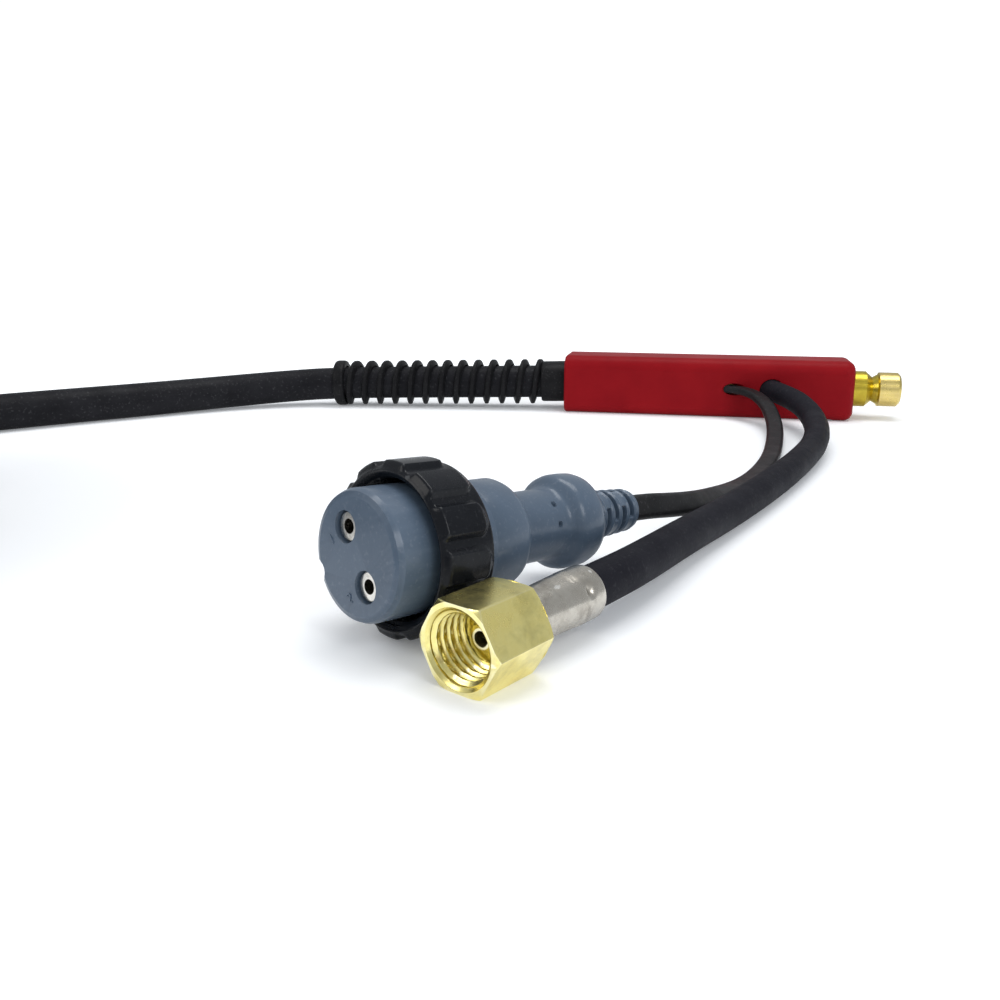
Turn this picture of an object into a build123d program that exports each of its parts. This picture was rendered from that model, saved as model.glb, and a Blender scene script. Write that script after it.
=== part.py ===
"""TIG welding torch lead, laid out on a table: machine-end connectors, cable, coil and torch.

Millimetres, +Z up. The origin is the centre of the adapter housing's flat underside, and
+X runs along the housing towards the power plug.
"""

import math
import os

from build123d import *

os.makedirs("parts", exist_ok=True)

# ---------------------------------------------------------------- driving dimensions
RUN_FIT = 0.06  # radial running clearance between pieces that turn or slide
SOFT_GAP = 0.3  # gap round soft and loose pieces
SCREW_R = 1.1  # self-tapping screws, 2.2 mm
SCREW_HEAD_R = 2.1
SCREW_HEAD_H = 1.4

# adapter housing
HOUSING_L = 110.6
HOUSING_W = 24.0
HOUSING_H = 22.5
HOUSING_WALL = 2.4
HOUSING_CORNER = 5.0
HOUSING_FOOT = 3.6
HOUSING_NOSE = 3.4
HOUSING_END_WALL = 3.0
PLUG_BLOCK_X = 34.6  # the solid block round the power plug starts here
RIB_X = (-4.0, 6.0)  # cross rib that carries the adapter and one screw
HOUSING_SCREW_SPOTS = ((46.5, 8.2), (46.5, -8.2), (1.0, 8.2))

# main cable and its bend relief
CABLE_D = 13.0
RELIEF_COLLAR_R = 8.2
RELIEF_COLLAR_END = 15.5  # measured along the relief from its root plane
RELIEF_FLANGE_R = 9.6
RELIEF_L = 101.5
RELIEF_WIRE = 2.0
RELIEF_PITCH = 6.4
RELIEF_END_R = 9.25
RELIEF_END_T = 4.4
RELIEF_BORE_R = 7.0

# power plug, 13 mm bayonet pin
PIN_R = 6.5
PIN_L = 7.8
PIN_NECK_R = 4.6
PLUG_BODY_R = 6.8
PLUG_OUT = 5.4  # plain brass between the housing and the neck
PLUG_NECK_L = 4.3
PLUG_FLANGE_R = 7.8
PLUG_FLANGE_T = 5.0
PLUG_THREAD_R = 4.0

# gas and power adapter
ADAPTER_R = 5.6
ADAPTER_X = (-4.0, 34.0)
SPIGOT_R = 2.6
SPIGOT_L = 15.0
BRAID_R = 3.5
GAS_BOSS_R = 3.9
GAS_BOSS_L = 8.0
LEAD_D = 3.0
GAS_BORE_R = 2.0
GAS_PORT_X = 20.4

# gas hose, its fittings and the union nut (M12 x 1, 14 mm across flats)
HOSE_D = 8.0
NUT_AF = 14.0
NUT_L = 13.3
NUT_THREAD_R = 6.0
NUT_THREAD_L = 9.8
NUT_HOLE_R = 4.2
NIPPLE_BORE_R = 1.3
NIPPLE_NOSE_S = 5.4
NIPPLE_COLLAR_R = 5.3
STEM_R = 2.3
FERRULE_R = 4.9
FERRULE_L = 18.5
FERRULE_GAP = 0.4
NUT_FRONT = (-33.8, -265.9)
NUT_HEADING = 62.5  # degrees from +X

# two-pole control plug and its cord
PLUG_HEADING = 57.0
PLUG_DROOP = 4.5
PLUG_FACE = (-53.4, -254.2)
INSERT_R = 11.0
INSERT_L = 13.0
INSERT_SPIGOT_R = 7.4
INSERT_SPIGOT_L = 8.0
SOCKET_SPREAD = 5.2
SOCKET_ANGLE = 123.0
SOCKET_R = 2.7
CONTACT_R = 2.3
CONTACT_BORE_R = 1.25
KEY_ANGLE = 205.0
KEY_R = 1.85
RING_S = (6.4, 18.0)
RING_R = 14.85
RING_PAD_H = 0.9
RING_THREAD_R = 12.5
RING_LIP_T = 3.0
RING_GROOVE_R = 9.2
RING_GRIPS = 12
COLLAR_R = 10.1
COLLAR_END = 31.5
BARREL_R = 6.8
DISC_R = 9.2
DISC_S = (46.0, 53.6)
BOOT_R = (5.0, 3.5)
BOOT_END = 69.5
TWIN_SOLID_D = 3.6
TWIN_IN_BOOT = 9.0

# coil of stored cable
COIL_CENTRE = (-250.6, -244.4)
COIL_MEAN_R = 75.0
COIL_WIDE = 2
COIL_HIGH = 4
COIL_CORNER = 5.0
COIL_LIFT = 1.7  # the ties pass under the coil
TIE_W = 16.0
TIE_T = 1.4
TIE_ANGLES = (40.0, 262.0)

# torch
TORCH_START = (-230.0, -360.0, 14.0)
HANDLE_W = 29.0
HANDLE_H = 27.0
HANDLE_S = (20.0, 138.0)
HANDLE_WALL = 2.3
HANDLE_CORNER = 11.0
HANDLE_BOOT_L = 24.0
HANDLE_BOOT_R = 10.2
HANDLE_SCREW_SPOTS = ((34.0, 9.2), (34.0, -9.2), (122.0, 9.2), (122.0, -9.2))
STEM_TUBE_R = 4.6
STEM_TUBE_S = (72.0, 150.0)
STEM_NUT_AF = 14.0
TRIGGER_S = 96.0
TRIGGER_L = 24.0
TRIGGER_W = 11.0
TRIGGER_TRAVEL = 1.8
TRIGGER_PROUD = 3.4
SWITCH_SIZE = (20.0, 6.5, 10.0)
HEAD_S = 155.5
HEAD_ANGLE = 70.0
HEAD_R = 10.5
HEAD_FRONT = 17.0
HEAD_BACK = 15.0
HEAD_BODY_R = 7.6
HEAD_THREAD_R = 5.2
GASKET_R = 9.3
GASKET_T = 3.0
CUP_BASE_R = 8.6
CUP_TIP_R = 6.6
CUP_BORE_R = 6.2
CUP_MOUTH_R = 4.9
CUP_L = 38.0
COLLET_BODY_R = 5.0
COLLET_R = 2.6
TUNGSTEN_R = 1.2
TUNGSTEN_OUT = 6.0
CAP_R = 8.4
CAP_L = 26.0

# ---------------------------------------------------------------- routes of the cords
GAS_HOSE_POINTS = (
    (-9.6, -216.0, 6.6),
    (-3.4, -195.5, 5.2),
    (5.0, -173.4, 4.4),
    (15.0, -146.8, 4.1),
    (26.6, -112.0, 4.1),
    (34.8, -82.0, 4.7),
    (37.6, -56.0, 6.4),
    (34.4, -33.0, 9.6),
)
TWIN_POINTS = (
    (18.2, -18.4, 10.6),
    (22.4, -27.0, 8.2),
    (24.2, -40.0, 5.2),
    (24.2, -54.0, 3.4),
    (23.0, -70.0, 2.5),
    (21.2, -88.0, 2.4),
    (18.0, -106.0, 2.4),
    (13.4, -120.5, 2.4),
    (7.6, -132.8, 2.4),
    (1.2, -144.2, 2.4),
    (-4.2, -153.6, 2.9),
    (-8.0, -163.2, 4.2),
    (-10.0, -172.8, 6.0),
    (-10.8, -182.2, 8.0),
)
CABLE_POINTS = (
    (-50.5, 0.0, 11.25),
    (-100.0, -5.1, 10.2),
    (-152.0, -11.2, 9.2),
    (-172.7, -18.7, 8.0),
    (-192.6, -32.1, 7.0),
    (-213.4, -53.7, 6.5),
    (-236.4, -78.8, 6.5),
    (-259.0, -106.8, 6.6),
    (-285.5, -141.9, 7.2),
    (-308.8, -179.2, 7.9),
    (-325.1, -211.3, 8.2),
)
TAIL_POINTS = (
    (-330.9, -258.6, 47.2),
    (-328.2, -284.5, 41.5),
    (-320.5, -311.4, 31.0),
    (-304.0, -334.1, 23.0),
    (-281.0, -351.0, 17.0),
    (-256.0, -360.0, 14.0),
)

# ---------------------------------------------------------------- derived values
AXIS_Z = HOUSING_H / 2
HOUSING_END = HOUSING_L / 2
CABLE_R = CABLE_D / 2
HOSE_R = HOSE_D / 2
PLUG_TIP = HOUSING_END + PLUG_OUT + PLUG_NECK_L + PIN_L
CABLE_END_X = ADAPTER_X[0] - SPIGOT_L - 5.0
HANDLE_CABLE_S = HANDLE_S[0] + 24.0
TIE_SLACK = 2 * (SOFT_GAP + TIE_W**2 / 8 / (COIL_MEAN_R - CABLE_D))
NECK_S = HANDLE_S[1] - 13.0
NECK_R = 8.6
HEAD_SOCKET_R = 6.2
HEAD_BORE_R = 3.0
STEM_END = HEAD_S - 9.8
SCREW_SINK = 4.0
SWITCH_BODY_H = 3.4
SEAL_SEAT_R = 6.4
SEAL_WIRE_R = 0.55
SEAL_R = HEAD_THREAD_R + SEAL_WIRE_R


def along(origin, heading, droop=0.0):
    """Plane whose x axis runs along a heading, whose y axis is radial and upright."""
    turn, dip = math.radians(heading), math.radians(droop)
    axis = (math.cos(turn) * math.cos(dip), math.sin(turn) * math.cos(dip), -math.sin(dip))
    return Plane(origin=origin, x_dir=axis, z_dir=(math.sin(turn), -math.cos(turn), 0))


HOUSING_AXIS = along((0, 0, AXIS_Z), 0)
RELIEF_ROOT = Vector(*CABLE_POINTS[0])
RELIEF_TO = Vector(*CABLE_POINTS[2])
RELIEF_DIR = (RELIEF_TO - RELIEF_ROOT).normalized()
RELIEF_AXIS = along(
    RELIEF_ROOT,
    math.degrees(math.atan2(RELIEF_DIR.Y, RELIEF_DIR.X)),
    math.degrees(math.asin(-RELIEF_DIR.Z)),
)
NUT_AXIS = along((*NUT_FRONT, NUT_AF / 2), NUT_HEADING)
PLUG_DIP = math.radians(PLUG_DROOP)
PLUG_FACE_Z = RING_R * math.cos(PLUG_DIP) + RING_S[1] * math.sin(PLUG_DIP)
PLUG_AXIS = along((*PLUG_FACE, PLUG_FACE_Z), PLUG_HEADING, PLUG_DROOP)
TORCH_AXIS = along(TORCH_START, 0)
HEAD_CENTRE = TORCH_AXIS.from_local_coords((HEAD_S, 0, 0))
HEAD_AXIS = along(HEAD_CENTRE, -HEAD_ANGLE)
GAS_PORT_AXIS = along((GAS_PORT_X, 0, AXIS_Z), -69.0)
TWIN_EXIT_AXIS = along((7.0, -9.4, AXIS_Z), -33.0)


# ---------------------------------------------------------------- helpers
def station(plane, s, y=0.0, z=0.0):
    """Point at distance s along a plane's x axis."""
    return plane.from_local_coords((s, y, z))


def facing(plane, s):
    """Plane square to the axis at distance s, its x axis level and its y axis upright."""
    side = plane.y_dir.cross(plane.x_dir)
    return Plane(origin=station(plane, s), x_dir=side, z_dir=plane.x_dir)


def lathe(plane, *outline, mode=Mode.ADD):
    """Revolve an outline of (distance, radius) points round the plane's x axis."""
    with BuildSketch(plane) as profile:
        with BuildLine():
            Polyline(*outline, close=True)
        make_face()
    revolve(profile.sketch, axis=Axis(plane.origin, plane.x_dir), mode=mode)


def rod(plane, start, end, radius, mode=Mode.ADD):
    """Plain cylinder between two distances along the axis."""
    with BuildSketch(facing(plane, start)) as profile:
        Circle(radius)
    extrude(profile.sketch, amount=end - start, mode=mode)


def ring_cut(plane, start, end, outer, inner, mode=Mode.ADD):
    """Tube between two distances along the axis."""
    lathe(plane, (start, inner), (end, inner), (end, outer), (start, outer), mode=mode)


def corner_radii(points):
    """Largest even bend at each corner of a route: 0.45 of its shorter run."""
    radii = []
    for before, here, after in zip(points, points[1:], points[2:]):
        run_in = Vector(*here) - Vector(*before)
        run_out = Vector(*after) - Vector(*here)
        half_turn = math.radians(run_in.get_angle(run_out)) / 2
        radii.append(0.45 * min(run_in.length, run_out.length) / math.tan(half_turn))
    return radii


def cord(name, points, diameter):
    """Round tube along straight runs joined by tangent arcs."""
    radii = corner_radii(points)
    with BuildPart() as tube:
        with BuildLine() as path:
            FilletPolyline(*points, radius=radii)
        route = path.wires()[0]
        with BuildSketch(Plane(origin=route @ 0, z_dir=route % 0)):
            Circle(diameter / 2)
        sweep(path=route)
    length = route.length
    expected = math.pi * (diameter / 2) ** 2 * length
    print(name, "length", round(length, 1), "volume ratio", round(tube.part.volume / expected, 4))
    print("  radii", [round(r, 1) for r in radii])
    return tube


def save(name, piece):
    """Label a finished piece and write its STEP file."""
    piece.part.label = name
    export_step(piece.part, f"parts/{name}.step")


# ---------------------------------------------------------------- adapter housing
def housing_block():
    """Outer block with softened long edges and a rounded plug end."""
    with BuildSketch(Plane.YZ.offset(-HOUSING_END)) as profile:
        with Locations((0, AXIS_Z)):
            Rectangle(HOUSING_W, HOUSING_H)
    extrude(profile.sketch, amount=HOUSING_L)
    block = Axis.X
    fillet(edges().filter_by(block).group_by(Axis.Z)[0], HOUSING_FOOT)
    fillet(edges().filter_by(block).group_by(Axis.Z)[-1], HOUSING_CORNER)
    fillet(faces().sort_by(block)[-1].edges(), HOUSING_NOSE)
    chamfer(faces().sort_by(block)[0].edges(), 0.6)


def housing_hollow():
    """Cavity, end holes, plug seat, side exits and screw holes, cut from the block."""
    room_w = HOUSING_W - 2 * HOUSING_WALL
    room_h = HOUSING_H - 2 * HOUSING_WALL
    rooms = ((-HOUSING_END + HOUSING_END_WALL, RIB_X[0]), (RIB_X[1], PLUG_BLOCK_X))
    for low, high in rooms:
        with BuildSketch(Plane.YZ.offset(low)) as profile:
            with Locations((0, AXIS_Z)):
                Rectangle(room_w, room_h)
        extrude(profile.sketch, amount=high - low, mode=Mode.SUBTRACT)
    rod(HOUSING_AXIS, RIB_X[0] - 1, RIB_X[1] + 1, ADAPTER_R + RUN_FIT, mode=Mode.SUBTRACT)
    rod(HOUSING_AXIS, PLUG_BLOCK_X - 1, HOUSING_END + 1, PLUG_BODY_R + RUN_FIT, mode=Mode.SUBTRACT)
    flange_x = PLUG_BLOCK_X + 2
    rod(
        HOUSING_AXIS,
        flange_x - RUN_FIT,
        flange_x + PLUG_FLANGE_T + RUN_FIT,
        PLUG_FLANGE_R + RUN_FIT,
        mode=Mode.SUBTRACT,
    )
    wall_in = -HOUSING_END + HOUSING_END_WALL - 0.4
    rod(HOUSING_AXIS, -HOUSING_END - 1, wall_in + 1, RELIEF_COLLAR_R + 0.7, mode=Mode.SUBTRACT)
    rod(HOUSING_AXIS, wall_in, wall_in + 5, RELIEF_FLANGE_R + 0.5, mode=Mode.SUBTRACT)
    lead_slot = 2 * (TWIN_SOLID_D / 2 + SOFT_GAP)
    with BuildSketch(Plane.YZ.offset(RIB_X[0] - 1)) as profile:
        with Locations((-(HOUSING_W / 2 - HOUSING_WALL - lead_slot / 2), AXIS_Z)):
            Rectangle(lead_slot, lead_slot)
    extrude(profile.sketch, amount=RIB_X[1] - RIB_X[0] + 2, mode=Mode.SUBTRACT)
    rod(GAS_PORT_AXIS, ADAPTER_R, HOUSING_W, HOSE_R + SOFT_GAP, mode=Mode.SUBTRACT)
    rod(TWIN_EXIT_AXIS, 0, 12, TWIN_SOLID_D / 2 + SOFT_GAP + 0.2, mode=Mode.SUBTRACT)
    with BuildSketch(Plane.XY.offset(-1)) as profile:
        with Locations(*HOUSING_SCREW_SPOTS):
            Circle(SCREW_R + RUN_FIT)
    extrude(profile.sketch, amount=HOUSING_H - 3, mode=Mode.SUBTRACT)
    with BuildSketch(Plane.XY.offset(-1)) as profile:
        with Locations(*HOUSING_SCREW_SPOTS):
            Circle(SCREW_HEAD_R + RUN_FIT)
    extrude(profile.sketch, amount=1 + SCREW_HEAD_H + 0.7, mode=Mode.SUBTRACT)


def make_housing():
    """Two shells, parted at mid height."""
    with BuildPart() as lower:
        housing_block()
        housing_hollow()
        with BuildSketch(Plane.XY):
            with Locations((-30.0, -HOUSING_W / 2)):
                Rectangle(5.0, 2.4)
        extrude(amount=1.4, mode=Mode.SUBTRACT)
        split(bisect_by=Plane.XY.offset(AXIS_Z), keep=Keep.BOTTOM)
    save("housing_lower", lower)
    with BuildPart() as upper:
        housing_block()
        housing_hollow()
        split(bisect_by=Plane.XY.offset(AXIS_Z), keep=Keep.TOP)
    save("housing_upper", upper)


def make_housing_screws():
    """Three self-tapping screws from below, one node."""
    seat = 0.7
    with BuildPart() as screws:
        for spot in HOUSING_SCREW_SPOTS:
            axis = Plane(origin=(*spot, seat), x_dir=(0, 0, 1), z_dir=(0, 1, 0))
            lathe(
                axis,
                (0.9, 0),
                (0.9, 0.8),
                (0, 1.5),
                (0, SCREW_HEAD_R - 0.5),
                (0.5, SCREW_HEAD_R),
                (SCREW_HEAD_H, SCREW_HEAD_R),
                (SCREW_HEAD_H, SCREW_R),
                (HOUSING_H - 7.5, SCREW_R),
                (HOUSING_H - 6.0, 0),
            )
    save("housing_screws", screws)


# ---------------------------------------------------------------- power path in the housing
def make_power_plug():
    """Brass bayonet pin with its neck, flange and threaded shank."""
    neck = HOUSING_END + PLUG_OUT
    head = neck + PLUG_NECK_L
    flange = PLUG_BLOCK_X + 2
    with BuildPart() as plug:
        lathe(
            HOUSING_AXIS,
            (ADAPTER_X[1] - 8.5, 0),
            (ADAPTER_X[1] - 8.5, PLUG_THREAD_R),
            (ADAPTER_X[1], PLUG_THREAD_R),
            (ADAPTER_X[1] + 0.1, PLUG_BODY_R - 0.6),
            (flange, PLUG_BODY_R - 0.6),
            (flange, PLUG_FLANGE_R),
            (flange + PLUG_FLANGE_T, PLUG_FLANGE_R),
            (flange + PLUG_FLANGE_T, PLUG_BODY_R),
            (neck - 0.5, PLUG_BODY_R),
            (neck, PLUG_BODY_R - 0.5),
            (neck + PLUG_NECK_L * 0.45, PIN_NECK_R),
            (head - 0.6, PIN_R - 0.9),
            (head, PIN_R),
            (PLUG_TIP - 1.0, PIN_R),
            (PLUG_TIP, PIN_R - 1.0),
            (PLUG_TIP, 2.2),
            (PLUG_TIP - 1.2, 1.6),
            (PLUG_TIP - 1.2, 0),
        )
    save("power_plug", plug)


def make_power_adapter():
    """Brass block that joins the cable, the gas port and the plug's thread."""
    low, high = ADAPTER_X
    spigot = low - SPIGOT_L
    with BuildPart() as adapter:
        lathe(
            HOUSING_AXIS,
            (spigot, 0),
            (spigot, SPIGOT_R - 0.6),
            (spigot + 0.8, SPIGOT_R),
            (low, SPIGOT_R),
            (low, ADAPTER_R - 0.5),
            (low + 0.5, ADAPTER_R),
            (high - 0.5, ADAPTER_R),
            (high, ADAPTER_R - 0.5),
            (high, 0),
        )
        rod(GAS_PORT_AXIS, 0, GAS_BOSS_L, GAS_BOSS_R)
        rod(HOUSING_AXIS, high - 9.5, high + 1, PLUG_THREAD_R + RUN_FIT, mode=Mode.SUBTRACT)
        rod(HOUSING_AXIS, spigot - 1, GAS_PORT_X + 1, GAS_BORE_R, mode=Mode.SUBTRACT)
        rod(GAS_PORT_AXIS, 0, GAS_BOSS_L + 1, GAS_BORE_R, mode=Mode.SUBTRACT)
    save("power_adapter", adapter)


def make_gas_barb():
    """Short barb screwed into the side port; the hose is pushed over it."""
    with BuildPart() as barb:
        lathe(
            GAS_PORT_AXIS,
            (GAS_BOSS_L + 0.02, GAS_BORE_R * 0.8),
            (GAS_BOSS_L + 0.02, GAS_BOSS_R),
            (GAS_BOSS_L + 1.0, GAS_BOSS_R),
            (GAS_BOSS_L + 1.0, STEM_R - 0.3),
            (GAS_BOSS_L + 4.0, STEM_R - 0.3),
            (GAS_BOSS_L + 4.4, STEM_R),
            (GAS_BOSS_L + 7.0, STEM_R - 0.4),
            (GAS_BOSS_L + 7.0, GAS_BORE_R * 0.8),
        )
    save("gas_barb", barb)


def make_conductor():
    """Copper braid of the cable, laid over the spigot, and the sleeve that crimps it."""
    low = ADAPTER_X[0]
    with BuildPart() as braid:
        ring_cut(HOUSING_AXIS, CABLE_END_X + 0.1, low - 0.8, BRAID_R, SPIGOT_R + RUN_FIT)
    save("power_conductor", braid)
    with BuildPart() as sleeve:
        lathe(
            HOUSING_AXIS,
            (low - 12.5, BRAID_R + RUN_FIT),
            (low - 1.0, BRAID_R + RUN_FIT),
            (low - 1.0, BRAID_R + 0.9),
            (low - 4.5, BRAID_R + 0.9),
            (low - 5.0, BRAID_R + 0.6),
            (low - 8.5, BRAID_R + 0.6),
            (low - 9.0, BRAID_R + 0.9),
            (low - 12.5, BRAID_R + 0.9),
        )
    save("crimp_sleeve", sleeve)


def make_inner_lead():
    """Control lead inside the housing, from the cable's end to the side exit."""
    lane = -(HOUSING_W / 2 - HOUSING_WALL - LEAD_D / 2 - SOFT_GAP)
    points = (
        (CABLE_END_X + 0.7, -BRAID_R - LEAD_D / 2 - 0.05, AXIS_Z),
        (CABLE_END_X + 9.0, lane, AXIS_Z),
        (RIB_X[1] - 4.0, lane - 0.1, AXIS_Z),
    )
    lead = cord("control_lead_inner", points, LEAD_D)
    save("control_lead_inner", lead)


# ---------------------------------------------------------------- bend relief and cable
def make_bend_relief():
    """Moulded helical guard: collar with an inner flange, open helix, thick end ring."""
    end_low = RELIEF_L - RELIEF_END_T
    helix_low = RELIEF_COLLAR_END - 1.0
    with BuildPart() as relief:
        ring_cut(RELIEF_AXIS, -0.6, 1.0, RELIEF_FLANGE_R, RELIEF_BORE_R + 0.2)
        lathe(
            RELIEF_AXIS,
            (0.5, RELIEF_BORE_R),
            (RELIEF_COLLAR_END, RELIEF_BORE_R),
            (RELIEF_COLLAR_END, RELIEF_COLLAR_R - 0.6),
            (RELIEF_COLLAR_END - 0.8, RELIEF_COLLAR_R),
            (0.5, RELIEF_COLLAR_R),
        )
        lathe(
            RELIEF_AXIS,
            (end_low, RELIEF_BORE_R),
            (RELIEF_L, RELIEF_BORE_R + 0.5),
            (RELIEF_L, RELIEF_END_R - 0.7),
            (RELIEF_L - 0.7, RELIEF_END_R),
            (end_low + 0.7, RELIEF_END_R),
            (end_low, RELIEF_END_R - 0.7),
        )
        wire_mid = RELIEF_BORE_R + RELIEF_WIRE / 2 + 0.12
        helix_plane = facing(RELIEF_AXIS, helix_low)
        with BuildLine() as winding:
            Helix(
                RELIEF_PITCH,
                end_low - helix_low + 1.0,
                wire_mid,
                center=helix_plane.origin,
                direction=helix_plane.z_dir,
            )
        path = winding.wires()[0]
        with BuildSketch(Plane(origin=path @ 0, z_dir=path % 0)):
            Circle(RELIEF_WIRE / 2)
        sweep(path=path, is_frenet=True)
    save("bend_relief", relief)


def make_main_cable():
    """Cable from the housing to the coil, the coil, its two ties, and the tail to the torch."""
    run = cord("main_cable_run", ((CABLE_END_X, 0, AXIS_Z), *CABLE_POINTS), CABLE_D)
    save("main_cable_run", run)
    handle_end = station(TORCH_AXIS, HANDLE_CABLE_S)
    tail = cord("main_cable_tail", (*TAIL_POINTS, tuple(handle_end)), CABLE_D)
    save("main_cable_tail", tail)
    half_w = COIL_WIDE * CABLE_D / 2
    height = COIL_HIGH * CABLE_D
    centre = Plane(origin=(*COIL_CENTRE, 0), x_dir=(1, 0, 0), z_dir=(0, -1, 0))
    with BuildPart() as coil:
        with BuildSketch(centre):
            with Locations((COIL_MEAN_R, COIL_LIFT + height / 2)):
                RectangleRounded(2 * half_w, height, COIL_CORNER)
        revolve(axis=Axis((*COIL_CENTRE, 0), (0, 0, 1)))
    save("main_cable_coil", coil)
    with BuildPart() as ties:
        for angle in TIE_ANGLES:
            turn = math.radians(angle)
            spot = Vector(*COIL_CENTRE, 0) + Vector(math.cos(turn), math.sin(turn), 0) * COIL_MEAN_R
            plane = Plane(
                origin=spot + Vector(0, 0, COIL_LIFT + height / 2),
                x_dir=(math.cos(turn), math.sin(turn), 0),
                z_dir=(-math.sin(turn), math.cos(turn), 0),
            )
            inner_w = 2 * half_w + TIE_SLACK
            inner_h = height + 2 * SOFT_GAP
            with BuildSketch(plane):
                RectangleRounded(inner_w + 2 * TIE_T, inner_h + 2 * TIE_T, COIL_CORNER)
                RectangleRounded(inner_w, inner_h, COIL_CORNER - TIE_T, mode=Mode.SUBTRACT)
            extrude(amount=TIE_W / 2, both=True)
    save("coil_ties", ties)


# ---------------------------------------------------------------- gas connection
def make_gas_nut():
    """Hexagonal union nut, chamfered both ends, with a threaded mouth."""
    corner = NUT_AF / math.sqrt(3)
    with BuildPart() as nut:
        with BuildSketch(facing(NUT_AXIS, 0)):
            RegularPolygon(NUT_AF / 2, 6, major_radius=False)
        extrude(amount=NUT_L)
        lathe(
            NUT_AXIS,
            (0, 0),
            (0, NUT_AF / 2 + 0.35),
            (0.45, corner + 0.05),
            (NUT_L - 0.4, corner + 0.05),
            (NUT_L, NUT_AF / 2 + 0.4),
            (NUT_L, 0),
            mode=Mode.INTERSECT,
        )
        lathe(
            NUT_AXIS,
            (-1, 0),
            (-1, NUT_THREAD_R + 0.45),
            (0, NUT_THREAD_R + 0.45),
            (0.6, NUT_THREAD_R),
            (NUT_THREAD_L, NUT_THREAD_R),
            (NUT_THREAD_L + 0.9, NUT_HOLE_R),
            (NUT_L + 1, NUT_HOLE_R),
            (NUT_L + 1, 0),
            mode=Mode.SUBTRACT,
        )
    save("gas_nut", nut)


def make_gas_nipple():
    """Rounded nose, collar behind which the nut turns, and the stem inside the hose."""
    shank = NUT_HOLE_R - RUN_FIT
    nose = NIPPLE_NOSE_S
    stem_end = NUT_L + FERRULE_GAP + FERRULE_L - 3.0
    with BuildPart() as nipple:
        lathe(
            NUT_AXIS,
            (nose, NIPPLE_BORE_R),
            (nose, NIPPLE_BORE_R + 0.4),
            (nose + 0.3, 2.3),
            (nose + 1.2, 2.9),
            (nose + 2.4, 3.2),
            (nose + 2.6, NIPPLE_COLLAR_R),
            (NUT_THREAD_L - 0.5, NIPPLE_COLLAR_R),
            (NUT_THREAD_L + 0.4, shank),
            (NUT_L + FERRULE_GAP, shank),
            (NUT_L + FERRULE_GAP, STEM_R),
            (stem_end, STEM_R),
            (stem_end, NIPPLE_BORE_R),
        )
    save("gas_nipple", nipple)


def make_gas_ferrule():
    """Crimped sleeve over the hose end."""
    low = NUT_L + FERRULE_GAP
    high = low + FERRULE_L
    with BuildPart() as ferrule:
        lathe(
            NUT_AXIS,
            (low, STEM_R + RUN_FIT),
            (low, FERRULE_R - 0.9),
            (low + 0.9, FERRULE_R - 0.35),
            (high - 7.0, FERRULE_R - 0.1),
            (high - 5.5, FERRULE_R),
            (high - 0.3, FERRULE_R),
            (high, FERRULE_R - 0.25),
            (high, HOSE_R + 0.03),
            (low + 1.2, HOSE_R + 0.03),
            (low + 1.2, STEM_R + RUN_FIT),
        )
    save("gas_ferrule", ferrule)


def make_gas_hose():
    """Hose from the ferrule to the barb in the housing."""
    start = station(NUT_AXIS, NUT_L + FERRULE_GAP + 1.4)
    straight = station(NUT_AXIS, NUT_L + FERRULE_GAP + FERRULE_L + 8.0)
    leave = station(GAS_PORT_AXIS, HOUSING_W / 2 + 5.0)
    end = station(GAS_PORT_AXIS, GAS_BOSS_L + 1.1)
    hose = cord(
        "gas_hose",
        (tuple(start), tuple(straight), *GAS_HOSE_POINTS, tuple(leave), tuple(end)),
        HOSE_D,
    )
    save("gas_hose", hose)


# ---------------------------------------------------------------- control plug
def polar(radius, angle):
    """Place on the plug's face, its angle counted from the right as someone facing it sees it."""
    turn = math.radians(angle)
    return (-radius * math.cos(turn), radius * math.sin(turn))


def make_plug_insert():
    """Grey socket insert with two contact holes and a half-round key groove."""
    with BuildPart() as insert:
        lathe(
            PLUG_AXIS,
            (0, 0),
            (0, INSERT_R - 1.3),
            (0.35, INSERT_R - 0.4),
            (1.3, INSERT_R),
            (INSERT_L, INSERT_R),
            (INSERT_L, INSERT_SPIGOT_R),
            (INSERT_L + INSERT_SPIGOT_L, INSERT_SPIGOT_R),
            (INSERT_L + INSERT_SPIGOT_L, 0),
        )
        with BuildSketch(facing(PLUG_AXIS, -1)):
            with Locations(polar(SOCKET_SPREAD, SOCKET_ANGLE), polar(-SOCKET_SPREAD, SOCKET_ANGLE)):
                Circle(SOCKET_R)
        extrude(amount=INSERT_L, mode=Mode.SUBTRACT)
        with BuildSketch(facing(PLUG_AXIS, -1)):
            with Locations(polar(INSERT_R, KEY_ANGLE)):
                Circle(KEY_R)
        extrude(amount=INSERT_L - 1, mode=Mode.SUBTRACT)
    save("plug_insert", insert)


def make_plug_contacts():
    """Two silvered contact tubes with slit mouths, one node."""
    seat = INSERT_L - 1.0
    with BuildPart() as contacts:
        with BuildSketch(facing(PLUG_AXIS, 0.8)):
            with Locations(polar(SOCKET_SPREAD, SOCKET_ANGLE), polar(-SOCKET_SPREAD, SOCKET_ANGLE)):
                Circle(CONTACT_R)
                Circle(CONTACT_BORE_R, mode=Mode.SUBTRACT)
        extrude(amount=seat - 0.8)
    save("plug_contacts", contacts)


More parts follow.
